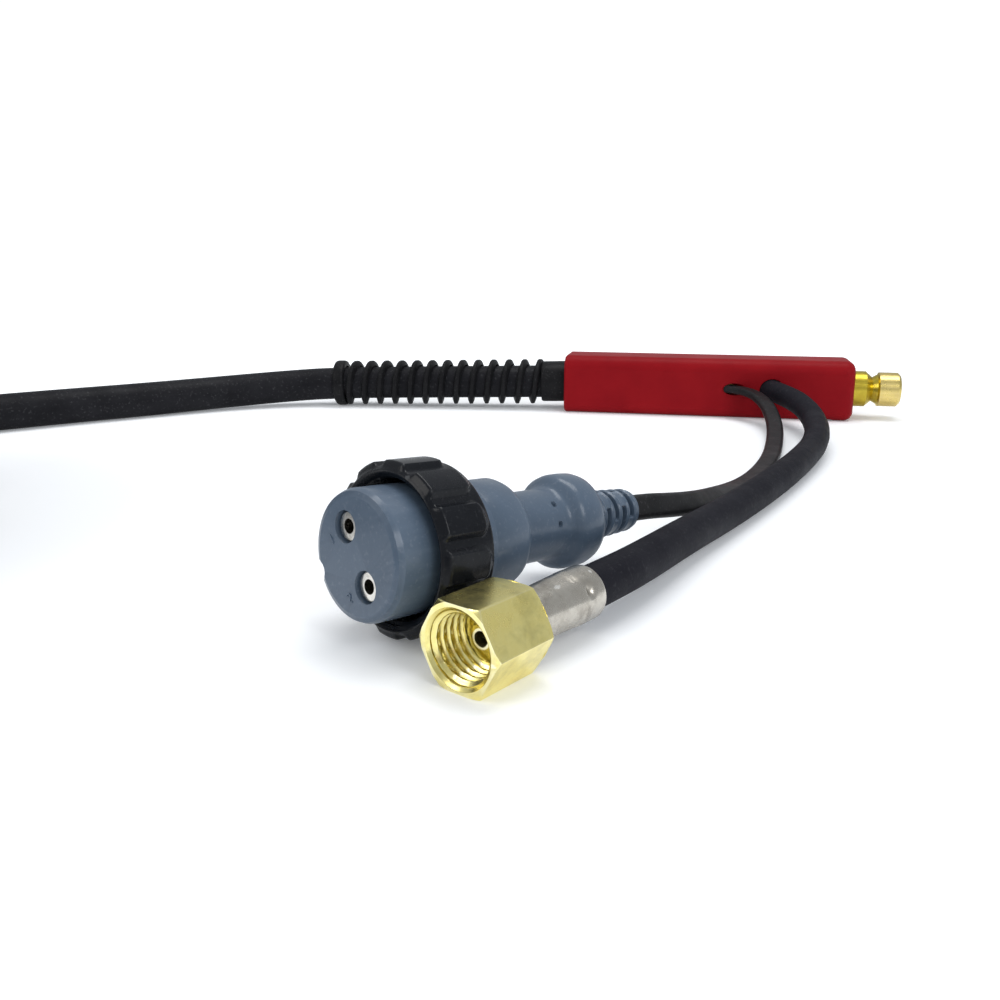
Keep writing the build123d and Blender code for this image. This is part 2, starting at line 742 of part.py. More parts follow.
def make_coupling_ring():
    """Black coupling ring: threaded mouth, rear lip, twelve broad grip pads."""
    low, high = RING_S
    wall_r = RING_R - RING_PAD_H
    with BuildPart() as ring:
        lathe(
            PLUG_AXIS,
            (low, RING_THREAD_R + 0.4),
            (low + 0.5, RING_THREAD_R),
            (high - RING_LIP_T, RING_THREAD_R),
            (high - RING_LIP_T, RING_GROOVE_R + RUN_FIT),
            (high, RING_GROOVE_R + RUN_FIT),
            (high, wall_r - 1.0),
            (high - 1.0, wall_r),
            (low + 0.6, wall_r),
            (low, wall_r - 0.6),
        )
        pad_w = 2 * math.pi * RING_R / RING_GRIPS * 0.6
        with BuildSketch(facing(PLUG_AXIS, low + 0.3)):
            with PolarLocations(wall_r - 0.3, RING_GRIPS, start_angle=90):
                Trapezoid(pad_w, 2 * (RING_PAD_H + 0.3), 78, rotation=-90)
            Circle(RING_R, mode=Mode.INTERSECT)
            Circle(wall_r - 1.0, mode=Mode.SUBTRACT)
        extrude(amount=high - low - 1.2)
    save("coupling_ring", ring)


def make_plug_body():
    """Grey moulded body: collar, waist, finger disc and slotted cord boot."""
    rear = INSERT_L + INSERT_SPIGOT_L
    with BuildPart() as body:
        lathe(
            PLUG_AXIS,
            (INSERT_L + RUN_FIT, INSERT_SPIGOT_R + RUN_FIT),
            (INSERT_L + RUN_FIT, RING_GROOVE_R),
            (RING_S[1] + 0.15, RING_GROOVE_R),
            (RING_S[1] + 0.15, COLLAR_R - 0.4),
            (RING_S[1] + 0.7, COLLAR_R + 0.2),
            (COLLAR_END - 9.5, COLLAR_R + 0.2),
            (COLLAR_END - 9.2, COLLAR_R - 0.1),
            (COLLAR_END - 1.6, COLLAR_R - 0.1),
            (COLLAR_END - 0.3, COLLAR_R - 1.2),
            (COLLAR_END, BARREL_R + 0.6),
            (COLLAR_END + 2.5, BARREL_R),
            (DISC_S[0] - 2.4, BARREL_R),
            (DISC_S[0] - 1.2, BARREL_R + 0.5),
            (DISC_S[0], DISC_R - 1.0),
            (DISC_S[0] + 1.4, DISC_R),
            (DISC_S[1] - 1.8, DISC_R),
            (DISC_S[1] - 0.4, DISC_R - 1.4),
            (DISC_S[1], DISC_R - 4.0),
            (DISC_S[1] + 0.4, BOOT_R[0]),
            (BOOT_END - 0.6, BOOT_R[1]),
            (BOOT_END, BOOT_R[1] - 0.6),
            (BOOT_END, TWIN_SOLID_D / 2 + 0.05),
            (BOOT_END - TWIN_IN_BOOT, TWIN_SOLID_D / 2 + 0.05),
            (BOOT_END - TWIN_IN_BOOT, 0),
            (rear + RUN_FIT, 0),
            (rear + RUN_FIT, INSERT_SPIGOT_R + RUN_FIT),
        )
        for row in range(3):
            low = DISC_S[1] + 2.2 + 3.2 * row
            for side in (0, 180):
                with BuildSketch(facing(PLUG_AXIS, low)):
                    with PolarLocations(BOOT_R[0], 1, start_angle=side + 90 * (row % 2)):
                        Rectangle(3.2, 7.0)
                extrude(amount=1.3, mode=Mode.SUBTRACT)
    save("plug_body", body)


def make_control_cable():
    """Twin control cord from the housing's side exit to the plug's boot."""
    start = station(TWIN_EXIT_AXIS, 1.0)
    leave = station(TWIN_EXIT_AXIS, 7.0)
    boot = station(PLUG_AXIS, BOOT_END + 7.0)
    end = station(PLUG_AXIS, BOOT_END - TWIN_IN_BOOT + 0.1)
    twin = cord(
        "control_cable",
        (tuple(start), tuple(leave), *TWIN_POINTS, tuple(boot), tuple(end)),
        TWIN_SOLID_D,
    )
    save("control_cable", twin)




# ---------------------------------------------------------------- torch handle
def handle_block():
    """Oval bar with rounded ends."""
    with BuildSketch(facing(TORCH_AXIS, HANDLE_S[0])) as profile:
        RectangleRounded(HANDLE_W, HANDLE_H, HANDLE_CORNER)
    extrude(profile.sketch, amount=HANDLE_S[1] - HANDLE_S[0])
    fillet(faces().sort_by(Axis.X)[-1].edges(), 3.5)
    fillet(faces().sort_by(Axis.X)[0].edges(), 2.5)


def handle_hollow():
    """Cavity, cable and neck bores, boot groove, trigger slot and screw holes."""
    low, high = HANDLE_S
    room = (HANDLE_W - 2 * HANDLE_WALL, HANDLE_H - 2 * HANDLE_WALL)
    with BuildSketch(facing(TORCH_AXIS, HANDLE_CABLE_S + 4)) as profile:
        RectangleRounded(*room, HANDLE_CORNER - HANDLE_WALL)
    extrude(profile.sketch, amount=NECK_S - 11 - HANDLE_CABLE_S - 4, mode=Mode.SUBTRACT)
    rod(TORCH_AXIS, low - 1, low + 4, HANDLE_BOOT_R - 1.6 + RUN_FIT, mode=Mode.SUBTRACT)
    rod(TORCH_AXIS, low + 3, low + 6, HANDLE_BOOT_R + RUN_FIT, mode=Mode.SUBTRACT)
    rod(TORCH_AXIS, low + 5, HANDLE_CABLE_S + 5, CABLE_R + RUN_FIT, mode=Mode.SUBTRACT)
    rod(TORCH_AXIS, NECK_S - 12, high + 1, STEM_TUBE_R + SOFT_GAP, mode=Mode.SUBTRACT)
    rod(TORCH_AXIS, NECK_S - 0.2, high + 1, NECK_R + RUN_FIT, mode=Mode.SUBTRACT)
    pocket = HANDLE_W / 2 - HANDLE_WALL
    with BuildSketch(Plane.XZ.offset(-TORCH_START[1])) as profile:
        with Locations((TORCH_START[0] + TRIGGER_S, TORCH_START[2])):
            Rectangle(TRIGGER_L + 3 + 2 * SOFT_GAP, TRIGGER_W + 2 + 2 * SOFT_GAP)
    extrude(profile.sketch, amount=-pocket, mode=Mode.SUBTRACT)
    with BuildSketch(Plane.XZ.offset(-TORCH_START[1])) as profile:
        with Locations((TORCH_START[0] + TRIGGER_S, TORCH_START[2])):
            Rectangle(TRIGGER_L + 2 * RUN_FIT + 0.2, TRIGGER_W + 2 * RUN_FIT + 0.2)
    extrude(profile.sketch, amount=-HANDLE_W, mode=Mode.SUBTRACT)
    for radius, depth in ((SCREW_R + RUN_FIT, HANDLE_H - 6), (SCREW_HEAD_R + RUN_FIT, SCREW_SINK)):
        with BuildSketch(Plane.XY.offset(TORCH_START[2] - HANDLE_H / 2 - 1)) as profile:
            with Locations(*handle_screw_spots()):
                Circle(radius)
        extrude(profile.sketch, amount=depth + 1, mode=Mode.SUBTRACT)


def handle_screw_spots():
    """Plan positions of the handle screws."""
    return [(TORCH_START[0] + s, TORCH_START[1] + y) for s, y in HANDLE_SCREW_SPOTS]


def make_handle():
    """Two half shells, their screws, and the rubber boot at the cable end."""
    part_line = Plane.XY.offset(TORCH_START[2])
    with BuildPart() as lower:
        handle_block()
        handle_hollow()
        split(bisect_by=part_line, keep=Keep.BOTTOM)
    save("handle_lower", lower)
    with BuildPart() as upper:
        handle_block()
        handle_hollow()
        split(bisect_by=part_line, keep=Keep.TOP)
    save("handle_upper", upper)
    with BuildPart() as screws:
        for x, y in handle_screw_spots():
            seat = TORCH_START[2] - HANDLE_H / 2 + SCREW_SINK - SCREW_HEAD_H
            axis = Plane(origin=(x, y, seat), x_dir=(0, 0, 1), z_dir=(0, 1, 0))
            lathe(
                axis,
                (0.9, 0),
                (0.9, 0.8),
                (0, 1.5),
                (0, SCREW_HEAD_R - 0.5),
                (0.5, SCREW_HEAD_R),
                (SCREW_HEAD_H, SCREW_HEAD_R),
                (SCREW_HEAD_H, SCREW_R),
                (HANDLE_H - 11.5, SCREW_R),
                (HANDLE_H - 10.0, 0),
            )
    save("handle_screws", screws)
    make_handle_boot()


def make_handle_boot():
    """Tapered, ribbed boot whose groove grips the handle's end wall."""
    low = HANDLE_S[0]
    bore = CABLE_R + RUN_FIT
    neck = HANDLE_BOOT_R - 1.6
    ribs = []
    for rib in range(5):
        s = 2.5 + 3.2 * rib
        r = 8.3 + 0.35 * rib
        ribs += [(s, r), (s + 1.9, r + 0.2), (s + 2.0, r - 0.8), (s + 3.1, r - 0.7)]
    with BuildPart() as boot:
        lathe(
            TORCH_AXIS,
            (0, bore),
            (0, 7.4),
            (1.0, 8.0),
            *ribs,
            (low - 0.8, HANDLE_BOOT_R + 0.4),
            (low - RUN_FIT, HANDLE_BOOT_R + 0.2),
            (low - RUN_FIT, neck),
            (low + 3.0 + RUN_FIT, neck),
            (low + 3.0 + RUN_FIT, HANDLE_BOOT_R),
            (low + 6.0 - 0.2, HANDLE_BOOT_R),
            (low + 6.0 - 0.2, bore),
        )
    save("handle_boot", boot)


def make_handle_inside():
    """Cable nut, stem tube and the small switch under the trigger."""
    s = HANDLE_CABLE_S
    with BuildPart() as nut:
        lathe(
            TORCH_AXIS,
            (s + 0.1, 0),
            (s + 0.1, 5.2),
            (s + 14, 5.2),
            (s + 14, 6.2),
            (s + 15, 6.2),
            (s + 15, 0),
        )
        with BuildSketch(facing(TORCH_AXIS, s + 15)):
            RegularPolygon(STEM_NUT_AF / 2, 6, major_radius=False)
        extrude(amount=STEM_TUBE_S[0] - s - 15)
        rod(TORCH_AXIS, s, STEM_TUBE_S[0] + 1, GAS_BORE_R, mode=Mode.SUBTRACT)
        rod(TORCH_AXIS, s + 20, STEM_TUBE_S[0] + 1, STEM_TUBE_R + RUN_FIT, mode=Mode.SUBTRACT)
    save("handle_cable_nut", nut)
    with BuildPart() as stem:
        ring_cut(TORCH_AXIS, s + 20.1, STEM_END, STEM_TUBE_R, STEM_TUBE_R - 1.6)
    save("torch_stem", stem)
    x = TORCH_START[0] + TRIGGER_S
    long, tall, wide = SWITCH_SIZE
    with BuildPart() as switch:
        with BuildSketch(Plane.XZ.offset(-TORCH_START[1] - STEM_TUBE_R - SOFT_GAP)):
            with Locations((x, TORCH_START[2])):
                Rectangle(long, wide)
        extrude(amount=-SWITCH_BODY_H)
        with BuildSketch(Plane.XZ.offset(-TORCH_START[1] - STEM_TUBE_R - SOFT_GAP - SWITCH_BODY_H)):
            with Locations((x, TORCH_START[2])):
                Circle(1.0)
        extrude(amount=-0.25)
    save("trigger_switch", switch)


def make_trigger():
    """Sliding trigger button with a retaining flange, and its return spring."""
    x = TORCH_START[0] + TRIGGER_S
    z = TORCH_START[2]
    wall_in = TORCH_START[1] + HANDLE_W / 2 - HANDLE_WALL
    top = TORCH_START[1] + HANDLE_W / 2 + TRIGGER_PROUD
    flange_t = 1.2
    with BuildPart() as trigger:
        with BuildSketch(Plane.XZ.offset(-(wall_in - RUN_FIT))):
            with Locations((x, z)):
                Rectangle(TRIGGER_L + 3, TRIGGER_W + 2)
        extrude(amount=flange_t)
        with BuildSketch(Plane.XZ.offset(-(wall_in - RUN_FIT))):
            with Locations((x, z)):
                RectangleRounded(TRIGGER_L, TRIGGER_W, 2.5)
        extrude(amount=-(top - wall_in + RUN_FIT))
        fillet(faces().sort_by(Axis.Y)[-1].edges(), 1.6)
    save("trigger", trigger)
    low = TORCH_START[1] + STEM_TUBE_R + SOFT_GAP + SWITCH_BODY_H
    high = wall_in - RUN_FIT - flange_t
    with BuildPart() as spring:
        with BuildSketch(Plane.XZ.offset(-low - 0.02)):
            with Locations((x, z)):
                Circle(3.0)
                Circle(2.2, mode=Mode.SUBTRACT)
        extrude(amount=-(high - low - 0.04))
    save("trigger_spring", spring)


# ---------------------------------------------------------------- torch head
def make_head():
    """Copper head body inside its moulded rubber cover."""
    with BuildPart() as body:
        ring_cut(HEAD_AXIS, -HEAD_BACK + 0.5, HEAD_FRONT - 0.5, HEAD_BODY_R, HEAD_BORE_R)
        rod(TORCH_AXIS, HANDLE_S[1] + 0.4, HEAD_S - 2, HEAD_SOCKET_R)
        rod(HEAD_AXIS, 5.0, HEAD_FRONT, HEAD_THREAD_R, mode=Mode.SUBTRACT)
        rod(HEAD_AXIS, -HEAD_BACK, -3.0, HEAD_THREAD_R, mode=Mode.SUBTRACT)
        rod(HEAD_AXIS, -HEAD_BACK, -HEAD_BACK + 2.6, SEAL_SEAT_R, mode=Mode.SUBTRACT)
        rod(HEAD_AXIS, -HEAD_BACK, HEAD_FRONT, HEAD_BORE_R, mode=Mode.SUBTRACT)
        rod(TORCH_AXIS, HANDLE_S[1], STEM_END + 0.1, STEM_TUBE_R + RUN_FIT, mode=Mode.SUBTRACT)
        rod(TORCH_AXIS, HANDLE_S[1], HEAD_S, GAS_BORE_R, mode=Mode.SUBTRACT)
    save("head_body", body)
    with BuildPart() as cover:
        lathe(
            HEAD_AXIS,
            (-HEAD_BACK, 0),
            (-HEAD_BACK, HEAD_R - 1.6),
            (-HEAD_BACK + 1.6, HEAD_R),
            (HEAD_FRONT - 1.2, HEAD_R),
            (HEAD_FRONT, HEAD_R - 1.2),
            (HEAD_FRONT, 0),
        )
        rod(TORCH_AXIS, NECK_S, HEAD_S, NECK_R)
        rod(HEAD_AXIS, -HEAD_BACK - 1, HEAD_FRONT + 1, HEAD_BODY_R + RUN_FIT, mode=Mode.SUBTRACT)
        rod(TORCH_AXIS, NECK_S - 1, HEAD_S, STEM_TUBE_R + RUN_FIT, mode=Mode.SUBTRACT)
        rod(TORCH_AXIS, HANDLE_S[1] + 0.3, HEAD_S, HEAD_SOCKET_R + RUN_FIT, mode=Mode.SUBTRACT)
    save("head_cover", cover)


def make_front_end():
    """Gasket, collet body, collet, ceramic cup and tungsten."""
    front = HEAD_FRONT
    base = front + GASKET_T
    tip = base + CUP_L
    with BuildPart() as gasket:
        ring_cut(HEAD_AXIS, front + 0.02, base - 0.02, GASKET_R, COLLET_BODY_R + 0.2)
    save("cup_gasket", gasket)
    with BuildPart() as collet_body:
        lathe(
            HEAD_AXIS,
            (5.2, COLLET_R + RUN_FIT),
            (5.2, HEAD_THREAD_R - 0.03),
            (front - 0.1, HEAD_THREAD_R - 0.03),
            (front + 0.1, COLLET_BODY_R),
            (base + 9.0, COLLET_BODY_R),
            (base + 9.6, COLLET_BODY_R - 0.6),
            (base + 17.0, COLLET_BODY_R - 0.6),
            (base + 20.0, 3.0),
            (base + 20.0, TUNGSTEN_R + 0.1),
            (base + 17.5, TUNGSTEN_R + 0.1),
            (base + 16.6, COLLET_R + RUN_FIT),
        )
        with BuildSketch(Plane(origin=station(HEAD_AXIS, base + 13.2), z_dir=(0, 0, 1))):
            Circle(0.9)
        extrude(amount=8, both=True, mode=Mode.SUBTRACT)
    save("collet_body", collet_body)
    with BuildPart() as collet:
        ring_cut(HEAD_AXIS, -8.0, base + 16.0, COLLET_R, TUNGSTEN_R + 0.05)
        with BuildSketch(facing(HEAD_AXIS, base)):
            Rectangle(0.5, 3 * COLLET_R)
        extrude(amount=17.0, mode=Mode.SUBTRACT)
    save("collet", collet)
    with BuildPart() as cup:
        lathe(
            HEAD_AXIS,
            (base, COLLET_BODY_R + RUN_FIT),
            (base, CUP_BASE_R - 0.5),
            (base + 0.5, CUP_BASE_R),
            (base + 9.5, CUP_BASE_R),
            (base + 12.5, CUP_TIP_R + 0.6),
            (tip - 0.6, CUP_TIP_R),
            (tip, CUP_TIP_R - 0.5),
            (tip, CUP_MOUTH_R),
            (tip - 8.0, CUP_MOUTH_R),
            (base + 14.0, CUP_BORE_R - 0.6),
            (base + 9.4, CUP_BORE_R),
            (base + 8.8, COLLET_BODY_R + RUN_FIT),
        )
    save("ceramic_cup", cup)
    with BuildPart() as tungsten:
        lathe(
            HEAD_AXIS,
            (-30.0, 0),
            (-30.0, TUNGSTEN_R),
            (tip + TUNGSTEN_OUT - 4.5, TUNGSTEN_R),
            (tip + TUNGSTEN_OUT, 0.15),
            (tip + TUNGSTEN_OUT, 0),
        )
    save("tungsten", tungsten)


def make_back_cap():
    """Short fluted back cap and its O-ring."""
    back = -HEAD_BACK
    end = back - CAP_L
    with BuildPart() as cap:
        lathe(
            HEAD_AXIS,
            (-9.0, COLLET_R + RUN_FIT),
            (-9.0, HEAD_THREAD_R - RUN_FIT),
            (back - RUN_FIT, HEAD_THREAD_R - RUN_FIT),
            (back - RUN_FIT, CAP_R - 0.5),
            (back - 0.6, CAP_R),
            (back - 10.0, CAP_R),
            (back - 11.5, CAP_R - 1.4),
            (end + 2.0, CAP_R - 2.6),
            (end, CAP_R - 4.6),
            (end, 0),
            (end + 3.0, 0),
            (end + 3.0, 1.6),
            (-12.0, 1.6),
            (-12.0, COLLET_R + RUN_FIT),
        )
        with BuildSketch(facing(HEAD_AXIS, back - 9.0)):
            with PolarLocations(CAP_R + 0.35, 12):
                Circle(1.0)
        extrude(amount=8.0, mode=Mode.SUBTRACT)
    save("back_cap", cap)
    with BuildPart() as seal:
        seat = Plane(origin=HEAD_AXIS.origin, x_dir=HEAD_AXIS.x_dir, z_dir=HEAD_AXIS.z_dir)
        with BuildSketch(seat):
            with Locations((back + 1.6, SEAL_R)):
                Circle(SEAL_WIRE_R)
        revolve(axis=Axis(seat.origin, seat.x_dir))
    save("back_cap_seal", seal)


# ---------------------------------------------------------------- everything
make_housing()
make_housing_screws()
make_power_plug()
make_power_adapter()
make_gas_barb()
make_conductor()
make_inner_lead()
make_bend_relief()
make_main_cable()
make_gas_nut()
make_gas_nipple()
make_gas_ferrule()
make_gas_hose()
make_plug_insert()
make_plug_contacts()
make_coupling_ring()
make_plug_body()
make_control_cable()
make_handle()
make_handle_inside()
make_trigger()
make_head()
make_front_end()
make_back_cap()
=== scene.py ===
"""TIG torch: the visible model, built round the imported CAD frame. Lengths are in mm until MM is applied."""
import math

import bpy
from mathutils import Matrix, Vector


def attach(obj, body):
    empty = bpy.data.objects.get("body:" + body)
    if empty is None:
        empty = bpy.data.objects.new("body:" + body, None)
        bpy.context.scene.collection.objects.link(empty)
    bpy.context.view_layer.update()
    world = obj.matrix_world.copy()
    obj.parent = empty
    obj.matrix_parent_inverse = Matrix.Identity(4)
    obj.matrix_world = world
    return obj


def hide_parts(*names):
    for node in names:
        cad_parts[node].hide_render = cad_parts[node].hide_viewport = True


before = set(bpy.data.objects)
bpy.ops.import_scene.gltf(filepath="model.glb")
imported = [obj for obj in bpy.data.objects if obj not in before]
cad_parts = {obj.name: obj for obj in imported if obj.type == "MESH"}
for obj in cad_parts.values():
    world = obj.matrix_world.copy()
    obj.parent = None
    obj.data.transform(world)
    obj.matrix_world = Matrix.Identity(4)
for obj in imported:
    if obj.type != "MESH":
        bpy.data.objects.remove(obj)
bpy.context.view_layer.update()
ROOT = "torch_set"
MM = 0.001
FULL_TURN = 2 * math.pi


# ------------------------------------------------------------------ camera, sky and floor
CAMERA_AT = (-0.0007, -0.3914, 0.0635)
CAMERA_PITCH, CAMERA_HEADING = 14.64, 12.0
SKY_TINT = (0.925, 0.96, 1.0, 1)
SKY_LIGHT, SKY_SEEN = 0.56, 1.12

cam_data = bpy.data.cameras.new("camera")
cam = bpy.data.objects.new("camera", cam_data)
bpy.context.collection.objects.link(cam)
cam.location = CAMERA_AT
cam.rotation_euler = (math.radians(90 - CAMERA_PITCH), 0, math.radians(CAMERA_HEADING))
cam_data.lens = 34.56
cam_data.sensor_width = 36
cam_data.clip_start = 0.01
bpy.context.scene.camera = cam

world = bpy.data.worlds.new("studio")
bpy.context.scene.world = world
world.use_nodes = True
sky = world.node_tree.nodes["Background"]
sky.inputs[0].default_value = SKY_TINT
ray = world.node_tree.nodes.new("ShaderNodeLightPath")
lift = world.node_tree.nodes.new("ShaderNodeMapRange")
lift.inputs["To Min"].default_value = SKY_LIGHT
lift.inputs["To Max"].default_value = SKY_SEEN
world.node_tree.links.new(ray.outputs["Is Camera Ray"], lift.inputs["Value"])
world.node_tree.links.new(lift.outputs["Result"], sky.inputs[1])
bpy.context.scene.view_settings.view_transform = "Standard"
bpy.context.scene.view_settings.look = "None"

floor_mesh = bpy.data.meshes.new("floor")
floor_mesh.from_pydata([(-6, -6, 0), (6, -6, 0), (6, 6, 0), (-6, 6, 0)], [], [(0, 1, 2, 3)])
floor = bpy.data.objects.new("floor", floor_mesh)
bpy.context.collection.objects.link(floor)


def area_light(name, at, to, size, power, colour=(1, 1, 1)):
    data = bpy.data.lights.new(name, "AREA")
    data.shape = "RECTANGLE"
    data.size, data.size_y = size
    data.energy = power
    data.color = colour
    lamp = bpy.data.objects.new(name, data)
    bpy.context.collection.objects.link(lamp)
    lamp.location = at
    lamp.rotation_euler = (Vector(to) - Vector(at)).to_track_quat("-Z", "Y").to_euler()


area_light("overhead", (0.02, 0.05, 0.80), (-0.03, -0.14, 0), (0.60, 0.36), 3.3)
area_light("left_box", (-0.55, -0.55, 0.45), (-0.02, -0.22, 0.01), (0.35, 0.35), 1.3, (1.0, 0.98, 0.95))
area_light("right_box", (0.45, -0.60, 0.42), (-0.02, -0.22, 0.01), (0.30, 0.30), 1.5, (0.96, 0.98, 1.0))


# ------------------------------------------------------------------ axes and directions
class Axle:
    """A line with a direction, level side and upright side, for pieces of revolution."""

    def __init__(self, origin, heading, droop=0.0):
        h, d = math.radians(heading), math.radians(droop)
        self.o = Vector(origin)
        self.x = Vector((math.cos(h) * math.cos(d), math.sin(h) * math.cos(d), -math.sin(d)))
        self.left = Vector((0, 0, 1)).cross(self.x).normalized()
        self.up = self.x.cross(self.left)

    def at(self, s, r=0.0, turn=0.0):
        side = -self.left * math.cos(turn) + self.up * math.sin(turn)
        return (self.o + self.x * s + side * r) * MM


RING_R, RING_LOW, RING_HIGH = 14.85, 6.4, 18.0
PLUG_DROOP = 4.5
FACE_Z = RING_R * math.cos(math.radians(PLUG_DROOP)) + RING_HIGH * math.sin(math.radians(PLUG_DROOP))
HOUSING = Axle((0, 0, 11.25), 0)
NUT = Axle((-33.8, -265.9, 7.0), 62.5)
PLUG = Axle((-53.4, -254.2, FACE_Z), 57.0, PLUG_DROOP)
GUARD_ROOT = Vector((-50.5, 0.0, 11.25))
GUARD_DIR = (Vector((-152.0, -11.2, 9.2)) - GUARD_ROOT).normalized()
GUARD = Axle(GUARD_ROOT, math.degrees(math.atan2(GUARD_DIR.y, GUARD_DIR.x)),
             math.degrees(-math.asin(GUARD_DIR.z)))


# ------------------------------------------------------------------ materials
def tree(name):
    m = bpy.data.materials.new(name)
    m.use_nodes = True
    nt = m.node_tree
    return m, nt, nt.nodes["Principled BSDF"]


def add(nt, kind, **values):
    node = nt.nodes.new(kind)
    for key, value in values.items():
        setattr(node, key, value)
    return node


def noise_of(nt, vector, scale, detail=4.0, rough=0.55):
    n = add(nt, "ShaderNodeTexNoise")
    n.inputs["Scale"].default_value = scale
    n.inputs["Detail"].default_value = detail
    n.inputs["Roughness"].default_value = rough
    nt.links.new(vector, n.inputs["Vector"])
    return n.outputs["Fac"]


def spread(nt, source, low, high, from_low=0.3, from_high=0.7):
    m = add(nt, "ShaderNodeMapRange")
    m.inputs["From Min"].default_value = from_low
    m.inputs["From Max"].default_value = from_high
    m.inputs["To Min"].default_value = low
    m.inputs["To Max"].default_value = high
    nt.links.new(source, m.inputs["Value"])
    return m.outputs["Result"]


def mix_colour(nt, factor, first, second):
    m = add(nt, "ShaderNodeMix", data_type="RGBA")
    for sock, colour in ((m.inputs[6], first), (m.inputs[7], second)):
        if isinstance(colour, tuple):
            sock.default_value = (*colour[:3], 1)
        else:
            nt.links.new(colour, sock)
    nt.links.new(factor, m.inputs[0])
    return m.outputs[2]


def maths(nt, op, a, b):
    m = add(nt, "ShaderNodeMath", operation=op)
    for sock, value in ((m.inputs[0], a), (m.inputs[1], b)):
        if isinstance(value, (int, float)):
            sock.default_value = value
        else:
            nt.links.new(value, sock)
    return m.outputs[0]


def bumped(nt, shader, height, strength, distance=0.0002):
    b = add(nt, "ShaderNodeBump")
    b.inputs["Strength"].default_value = strength
    b.inputs["Distance"].default_value = distance
    nt.links.new(height, b.inputs["Height"])
    nt.links.new(b.outputs["Normal"], shader.inputs["Normal"])


def plastic(name, colour, second, rough=0.4, mottle=180.0, grain=2600.0, grain_strength=0.12,
            coat=0.0, dust=0.0, dust_colour=(0.5, 0.5, 0.5), spread_rough=0.1, edge=0.0, shine=0.5):
    m, nt, shader = tree(name)
    pos = add(nt, "ShaderNodeTexCoord").outputs["Object"]
    patches = noise_of(nt, pos, mottle, 5.0)
    tone = mix_colour(nt, spread(nt, patches, 0.0, 1.0), colour, second)
    # Lighter colour on sharp convex edges, in patches: partly rubbed wear, partly a painted highlight standing
    # in for the edge highlights (strongest on the black coupling ring).
    if edge:
        edge_sharpness = add(nt, "ShaderNodeNewGeometry").outputs["Pointiness"]
        rubbed_wear_and_painted_highlight = maths(nt, "MULTIPLY", spread(nt, edge_sharpness, 0.0, edge, 0.53, 0.62), patches)
        tone = mix_colour(nt, rubbed_wear_and_painted_highlight, tone, tuple(min(1.0, c * 2.2 + 0.10) for c in colour))
    if dust:
        specks = noise_of(nt, pos, mottle * 11, 2.0)
        tone = mix_colour(nt, spread(nt, specks, 0.0, dust, 0.58, 0.72), tone, dust_colour)
    nt.links.new(tone, shader.inputs["Base Color"])
    smears = noise_of(nt, pos, mottle * 0.6, 6.0, 0.7)
    nt.links.new(spread(nt, smears, rough - spread_rough, rough + spread_rough), shader.inputs["Roughness"])
    shader.inputs["Specular IOR Level"].default_value = shine
    if coat:
        shader.inputs["Coat Weight"].default_value = coat
        shader.inputs["Coat Roughness"].default_value = 0.12
    bumped(nt, shader, noise_of(nt, pos, grain, 3.0), grain_strength)
    return m


def along_axis(nt, pos, axle):
    """Coordinate that changes only along an axis, for turned and brushed metal."""
    dot = add(nt, "ShaderNodeVectorMath", operation="DOT_PRODUCT")
    nt.links.new(pos, dot.inputs[0])
    dot.inputs[1].default_value = axle.x
    out = add(nt, "ShaderNodeCombineXYZ")
    nt.links.new(dot.outputs["Value"], out.inputs[0])
    return out.outputs[0]


def metal(name, colour, second, rough=0.25, axle=None, lines=2400.0, line_strength=0.15,
          tarnish=None, tarnish_scale=260.0, tarnish_amount=0.6, spread_rough=0.08, edge=None):
    m, nt, shader = tree(name)
    shader.inputs["Metallic"].default_value = 1.0
    pos = add(nt, "ShaderNodeTexCoord").outputs["Object"]
    patches = noise_of(nt, pos, tarnish_scale, 6.0, 0.65)
    tone = mix_colour(nt, spread(nt, patches, 0.0, 1.0, 0.35, 0.65), colour, second)
    if tarnish:
        stain = noise_of(nt, pos, tarnish_scale * 0.55, 7.0, 0.7)
        tone = mix_colour(nt, spread(nt, stain, 0.0, tarnish_amount, 0.50, 0.66), tone, tarnish)
    # Lighter colour on sharp edges, set by the pointiness of the mesh.
    if edge:
        edge_sharpness = add(nt, "ShaderNodeNewGeometry").outputs["Pointiness"]
        tone = mix_colour(nt, spread(nt, edge_sharpness, 0.0, 0.85, 0.52, 0.60), tone, edge)
    nt.links.new(tone, shader.inputs["Base Color"])
    nt.links.new(spread(nt, patches, rough - spread_rough, rough + spread_rough), shader.inputs["Roughness"])
    line = noise_of(nt, along_axis(nt, pos, axle) if axle else pos, lines, 3.0, 0.6)
    bumped(nt, shader, line, line_strength, 0.0001)
    return m


def paint(obj, material):
    obj.data.materials.clear()
    obj.data.materials.append(material)


floor_mat, nt_floor, floor_shader = tree("pale_floor_painted_glow")
floor_shader.inputs["Base Color"].default_value = (0.94, 0.95, 0.965, 1)
floor_shader.inputs["Roughness"].default_value = 0.9
floor_shader.inputs["Specular IOR Level"].default_value = 0.1
floor_shader.inputs["Emission Color"].default_value = SKY_TINT
# Painted light: the floor glows by itself in the sky's blue tint. The glow is weak near the torch, so the
# shadows under it stay deep, and stronger farther off, so the floor reads white.
away = add(nt_floor, "ShaderNodeVectorMath", operation="DISTANCE")
nt_floor.links.new(add(nt_floor, "ShaderNodeNewGeometry").outputs["Position"], away.inputs[0])
away.inputs[1].default_value = (-0.02, -0.17, 0.0)
painted_floor_glow = spread(nt_floor, away.outputs["Value"], 0.12, 0.68, 0.18, 0.55)
nt_floor.links.new(painted_floor_glow, floor_shader.inputs["Emission Strength"])
paint(floor, floor_mat)

